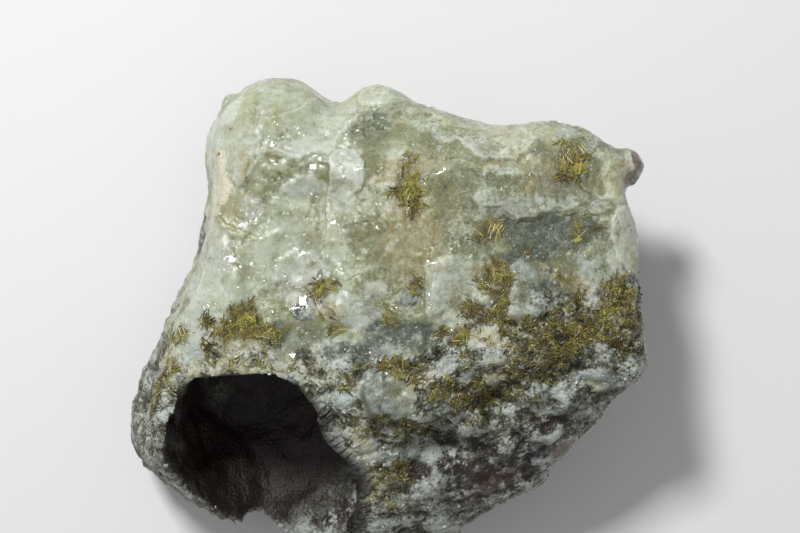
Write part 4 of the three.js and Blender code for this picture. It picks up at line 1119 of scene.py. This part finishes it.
class SPECIMEN_OT_stone(bpy.types.Operator):
    """Builds the carved and painted skin of the stone"""

    bl_idname = "specimen.stone"
    bl_label = "Stone"

    def execute(self, context):
        settings = context.scene.stone_settings
        stone = stone_copy()
        apply_modifier(stone, "REMESH", mode="VOXEL", voxel_size=settings.voxel)
        apply_modifier(stone, "SMOOTH", factor=0.5, iterations=SMOOTHING[0])
        refine_face(stone)
        apply_modifier(stone, "SMOOTH", factor=0.5, iterations=SMOOTHING[1])
        points = vertex_array(stone.data) / MM
        normals = vertex_normals(stone.data)
        carve(stone, settings)
        paint(stone, points, normals)
        select_only(stone)
        bpy.ops.object.shade_smooth_by_angle(angle=math.radians(CRISP_ANGLE))
        stone.data.materials.append(stone_material(settings))
        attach(stone, "root")
        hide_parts(NODE)
        return {"FINISHED"}


# ---------------------------------------------------------------- the epidote

def blade_template():
    """One blade: a five-sided prism of unit width and length along Z, narrowed at both ends."""
    bpy.ops.mesh.primitive_cylinder_add(vertices=5, radius=0.5, depth=1)
    blade = bpy.context.object
    select_only(blade)
    for end in (-0.5, 0.5):
        for polygon in blade.data.polygons:
            polygon.select = abs(polygon.center.z - end) < 0.1
        bpy.ops.object.mode_set(mode="EDIT")
        bpy.ops.mesh.select_mode(type="FACE")
        bpy.ops.transform.resize(value=(0.55, 0.75, 1), center_override=(0, 0, end))
        bpy.ops.object.mode_set(mode="OBJECT")
    return template_of(blade)


def scatter(stone, attribute, count, random):
    """Places on the skin, more where the attribute is high: points, normals and the vertices they lie at."""
    mesh = stone.data
    points = vertex_array(mesh)
    broken = smooth(clouds(points / MM, 1.6, 77, 2), -0.5, 0.5)
    weight = vertex_areas(mesh) * broken * np.clip(load_values(mesh, attribute) - 0.12, 0, 1) ** 1.5
    chosen = random.choice(len(points), size=count, p=weight / weight.sum())
    normals = vertex_normals(mesh)[chosen]
    jitter = random.normal(0, 0.12 * MM, (count, 3))
    jitter -= np.sum(jitter * normals, axis=1)[:, None] * normals
    return points[chosen] + jitter, normals, chosen


def aimed(normals, aims, lift):
    """Matrices that stand unit Z along each aim, laid in the skin and then lifted out of it."""
    flat = aims - np.sum(aims * normals, axis=1)[:, None] * normals
    flat /= np.linalg.norm(flat, axis=1)[:, None]
    along = flat * np.cos(lift)[:, None] + normals * np.sin(lift)[:, None]
    across = np.cross(normals, along)
    across /= np.linalg.norm(across, axis=1)[:, None]
    up = np.cross(along, across)
    return np.stack([across, up, along], axis=2)


def blade_sizes(count, lengths, width, random):
    """Width, thickness and length of each blade."""
    long = lengths[0] + (lengths[1] - lengths[0]) * random.beta(1.6, 2.6, count)
    wide = width * random.uniform(0.55, 1.2, count)
    wide *= np.where(random.random(count) < 0.2, 1.7, 1.0)
    return np.stack([wide, 0.6 * wide, long], axis=1)


def grain_template():
    """One grain: a rough ball of unit width."""
    bpy.ops.mesh.primitive_ico_sphere_add(subdivisions=1, radius=0.5)
    grain = bpy.context.object
    select_only(grain)
    bpy.ops.object.mode_set(mode="EDIT")
    bpy.ops.transform.vertex_random(offset=0.2, seed=3)
    bpy.ops.object.mode_set(mode="OBJECT")
    return template_of(grain)


def crystal_piece(name, template, places, turns, sizes, tone):
    """One piece of many crystals, with the tone of each stored on it."""
    piece = joined_copies(name, template, turns * sizes[:, None, :], places)
    along = 0.3 * template[0][:, 2]
    store(piece.data, "tone", (np.clip(tone, 0, 1)[:, None] + along).ravel())
    return piece


def felt(stone, settings):
    """Short blades that lie and stand all over the felted band, half sunk in the skin."""
    random = np.random.default_rng(FELT_SEED)
    count = settings.felt
    points, normals, _ = scatter(stone, "felt", count, random)
    _, centre, number = cells(points / MM, 1.5, 73)
    aims = points / MM - centre + random.normal(0, 0.7, (count, 3))
    turns = aimed(normals, aims, random.uniform(0.0, 0.6, count))
    lengths = (0.13 * settings.longest, 0.34 * settings.longest)
    sizes = blade_sizes(count, lengths, 0.75 * settings.width, random)
    places = points + normals * (sizes[:, 1] * random.uniform(-0.2, 0.6, count))[:, None]
    tone = 0.75 * number[:, 0] + random.normal(0.04, 0.2, count) + 0.006 * points[:, 1] / MM
    return crystal_piece("epidote_felt", blade_template(), places, turns, sizes, tone)


def sprays(stone, settings):
    """Sheaves of blades that fan out both ways from their middles and hug the skin."""
    random = np.random.default_rng(SPRAY_SEED)
    hearts, _, chosen = scatter(stone, "olive", settings.sprays, random)
    share = load_values(stone.data, "olive")[chosen]
    each = random.integers(4, 10, len(hearts)) + (7 * share).astype(int)
    owner = np.repeat(np.arange(len(hearts)), each)
    count = len(owner)
    skin = vertex_array(stone.data)
    normals = vertex_normals(stone.data)
    tree = KDTree(len(skin))
    for index, point in enumerate(skin):
        tree.insert(point, index)
    tree.balance()

    turn = random.uniform(0, math.tau, len(hearts))[owner] + random.normal(0, 0.5, count)
    turn += math.pi * random.integers(0, 2, count)
    aims = np.stack([np.cos(turn), np.sin(turn), np.zeros(count)], axis=1)
    lengths = (0.2 * settings.longest, settings.longest)
    sizes = blade_sizes(count, lengths, settings.width, random)
    middles = hearts[owner] + aims * (sizes[:, 2] * random.uniform(-0.2, 0.6, count))[:, None]
    middles += random.normal(0, 0.32 * MM, (count, 3))
    nearest = np.array([tree.find(middle)[1] for middle in middles])
    middles -= np.sum((middles - skin[nearest]) * normals[nearest], axis=1)[:, None] * normals[nearest]
    turns = aimed(normals[nearest], aims, random.uniform(-0.05, 0.16, count))
    places = middles + normals[nearest] * (sizes[:, 1] * random.uniform(-0.35, 0.25, count))[:, None]
    _, _, number = cells(places / MM, 1.3, 75)
    tone = random.normal(0.2, 0.16, len(hearts))[owner] + random.normal(0.1, 0.16, count)
    tone += 0.45 * number[:, 0] + 0.009 * (places[:, 1] / MM + 2)
    return crystal_piece("epidote_sprays", blade_template(), places, turns, sizes, tone)


def grains(stone, settings):
    """Rounded grains of quartz and feldspar, half sunk in the matrix."""
    random = np.random.default_rng(GRAIN_SEED)
    count = settings.grains
    points, normals, chosen = scatter(stone, "grit", count, random)
    turns = aimed(normals, random.normal(0, 1, (count, 3)), random.uniform(0, 1.4, count))
    width = 0.35 * MM + 1.1 * MM * random.beta(1.3, 4.0, count)
    sizes = width[:, None] * random.uniform(0.7, 1.3, (count, 3))
    places = points - normals * (width * random.uniform(0.2, 0.42, count))[:, None]
    tone = 0.5 + 1.2 * load_values(stone.data, "patch")[chosen] + random.normal(0, 0.15, count)
    return crystal_piece("matrix_grains", grain_template(), places, turns, sizes, tone)


def grain_material():
    s = Shader("quartz_grains")
    place = s.millimetres()
    tone = s.attribute("tone") + (s.noise(place, 0.4, 3) - 0.5) * 0.5
    base = s.ramp(tone, GRAIN_TONES)
    return s.finish(s.principled({
        "Base Color": base,
        "Roughness": 0.3,
        "Subsurface Weight": 0.5,
        "Subsurface Radius": (1.0, 1.0, 0.9),
        "Subsurface Scale": 0.5 * MM,
        "Normal": s.bump(s.noise(place, 0.15, 2), 0.05 * MM, 0.5),
    }))


def epidote_material(settings):
    s = Shader("epidote")
    place = s.millimetres()
    tone = s.attribute("tone") + (s.noise(place, 0.3, 4, 0.7) - 0.5) * 0.9
    base = s.ramp(tone, [
        (0.0, settings.dark), (0.25, settings.brown), (0.5, settings.green), (0.95, settings.yellow),
    ])
    weathered = s.step(s.noise(place, 1.5, 3), 0.48, 0.62) * 0.55
    base = s.mix(weathered, base, settings.golden)
    height = s.noise(place, 0.2, 2)
    return s.finish(s.principled({
        "Base Color": base,
        "Roughness": 0.42,
        "IOR": 1.7,
        "Subsurface Weight": 0.4,
        "Subsurface Radius": (0.5, 0.5, 0.15),
        "Subsurface Scale": 0.4 * MM,
        "Normal": s.bump(height, 0.05 * MM, 0.6),
    }))


class SPECIMEN_OT_epidote(bpy.types.Operator):
    """Grows the epidote blades in their sprays and in the felted band"""

    bl_idname = "specimen.epidote"
    bl_label = "Epidote"

    def execute(self, context):
        settings = context.scene.epidote_settings
        stone = bpy.data.objects["prehnite_skin"]
        material = epidote_material(settings)
        for piece in (sprays(stone, settings), felt(stone, settings)):
            piece.data.materials.append(material)
            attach(piece, "root")
        return {"FINISHED"}


class SPECIMEN_OT_grains(bpy.types.Operator):
    """Scatters rounded grains over the matrix"""

    bl_idname = "specimen.grains"
    bl_label = "Grains"

    def execute(self, context):
        settings = context.scene.epidote_settings
        piece = grains(bpy.data.objects["prehnite_skin"], settings)
        piece.data.materials.append(grain_material())
        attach(piece, "root")
        return {"FINISHED"}


# ---------------------------------------------------------------- the studio

def metres(place):
    """A place in mm as a vector in metres."""
    return Vector([value * MM for value in place])


def add_key(power):
    """A small square lamp that looks at the stone."""
    data = bpy.data.lights.new("key", "AREA")
    data.energy = power
    data.size = KEY_WIDTH * MM
    light = bpy.data.objects.new("key", data)
    light.location = metres(KEY_PLACE)
    light.rotation_euler = (metres(KEY_AIM) - metres(KEY_PLACE)).to_track_quat("-Z", "Y").to_euler()
    bpy.context.scene.collection.objects.link(light)


class SPECIMEN_OT_studio(bpy.types.Operator):
    """Sets the floor, the lights and the camera"""

    bl_idname = "specimen.studio"
    bl_label = "Studio"

    def execute(self, context):
        settings = context.scene.studio_settings
        scene = context.scene
        bpy.ops.mesh.primitive_plane_add(size=FLOOR_WIDTH * MM, location=(0, 0, -FLOOR_DROP * MM))
        floor = context.object
        floor.name = "floor"
        s = Shader("floor_paper")
        paper = s.principled({"Base Color": (*settings.floor, 1), "Roughness": 0.9})
        floor.data.materials.append(s.finish(paper))

        add_key(settings.key)
        world = bpy.data.worlds.new("studio")
        world.use_nodes = True
        background = world.node_tree.nodes["Background"]
        background.inputs["Color"].default_value = (1, 1, 1, 1)
        background.inputs["Strength"].default_value = settings.fill
        scene.world = world

        camera_data = bpy.data.cameras.new("camera")
        camera_data.lens = CAMERA_LENS
        camera_data.sensor_width = 36
        camera_data.clip_end = 20
        camera = bpy.data.objects.new("camera", camera_data)
        camera.location = metres(CAMERA_PLACE)
        scene.collection.objects.link(camera)
        scene.camera = camera
        scene.view_settings.view_transform = "Standard"
        return {"FINISHED"}


class SPECIMEN_PT_panel(bpy.types.Panel):
    """Lists the steps that build the specimen"""

    bl_idname = "SPECIMEN_PT_panel"
    bl_label = "Prehnite specimen"
    bl_space_type = "VIEW_3D"
    bl_region_type = "UI"
    bl_category = "Specimen"

    def draw(self, context):
        for settings in SETTINGS:
            group = getattr(context.scene, settings)
            box = self.layout.box()
            for name in group.__annotations__:
                box.prop(group, name)
        for operator in OPERATORS:
            self.layout.operator(operator.bl_idname)


SETTINGS = {
    "stone_settings": StoneSettings,
    "epidote_settings": EpidoteSettings,
    "studio_settings": StudioSettings,
}
OPERATORS = (SPECIMEN_OT_studio, SPECIMEN_OT_stone, SPECIMEN_OT_epidote, SPECIMEN_OT_grains)


def register():
    for cls in (*SETTINGS.values(), *OPERATORS, SPECIMEN_PT_panel):
        bpy.utils.register_class(cls)
    for name, cls in SETTINGS.items():
        setattr(bpy.types.Scene, name, bpy.props.PointerProperty(type=cls))


def unregister():
    for name in SETTINGS:
        delattr(bpy.types.Scene, name)
    for cls in (SPECIMEN_PT_panel, *OPERATORS, *SETTINGS.values()):
        bpy.utils.unregister_class(cls)


def main():
    register()
    bpy.ops.specimen.studio()
    bpy.ops.specimen.stone()
    bpy.ops.specimen.epidote()
    bpy.ops.specimen.grains()


if __name__ == "__main__":
    main()
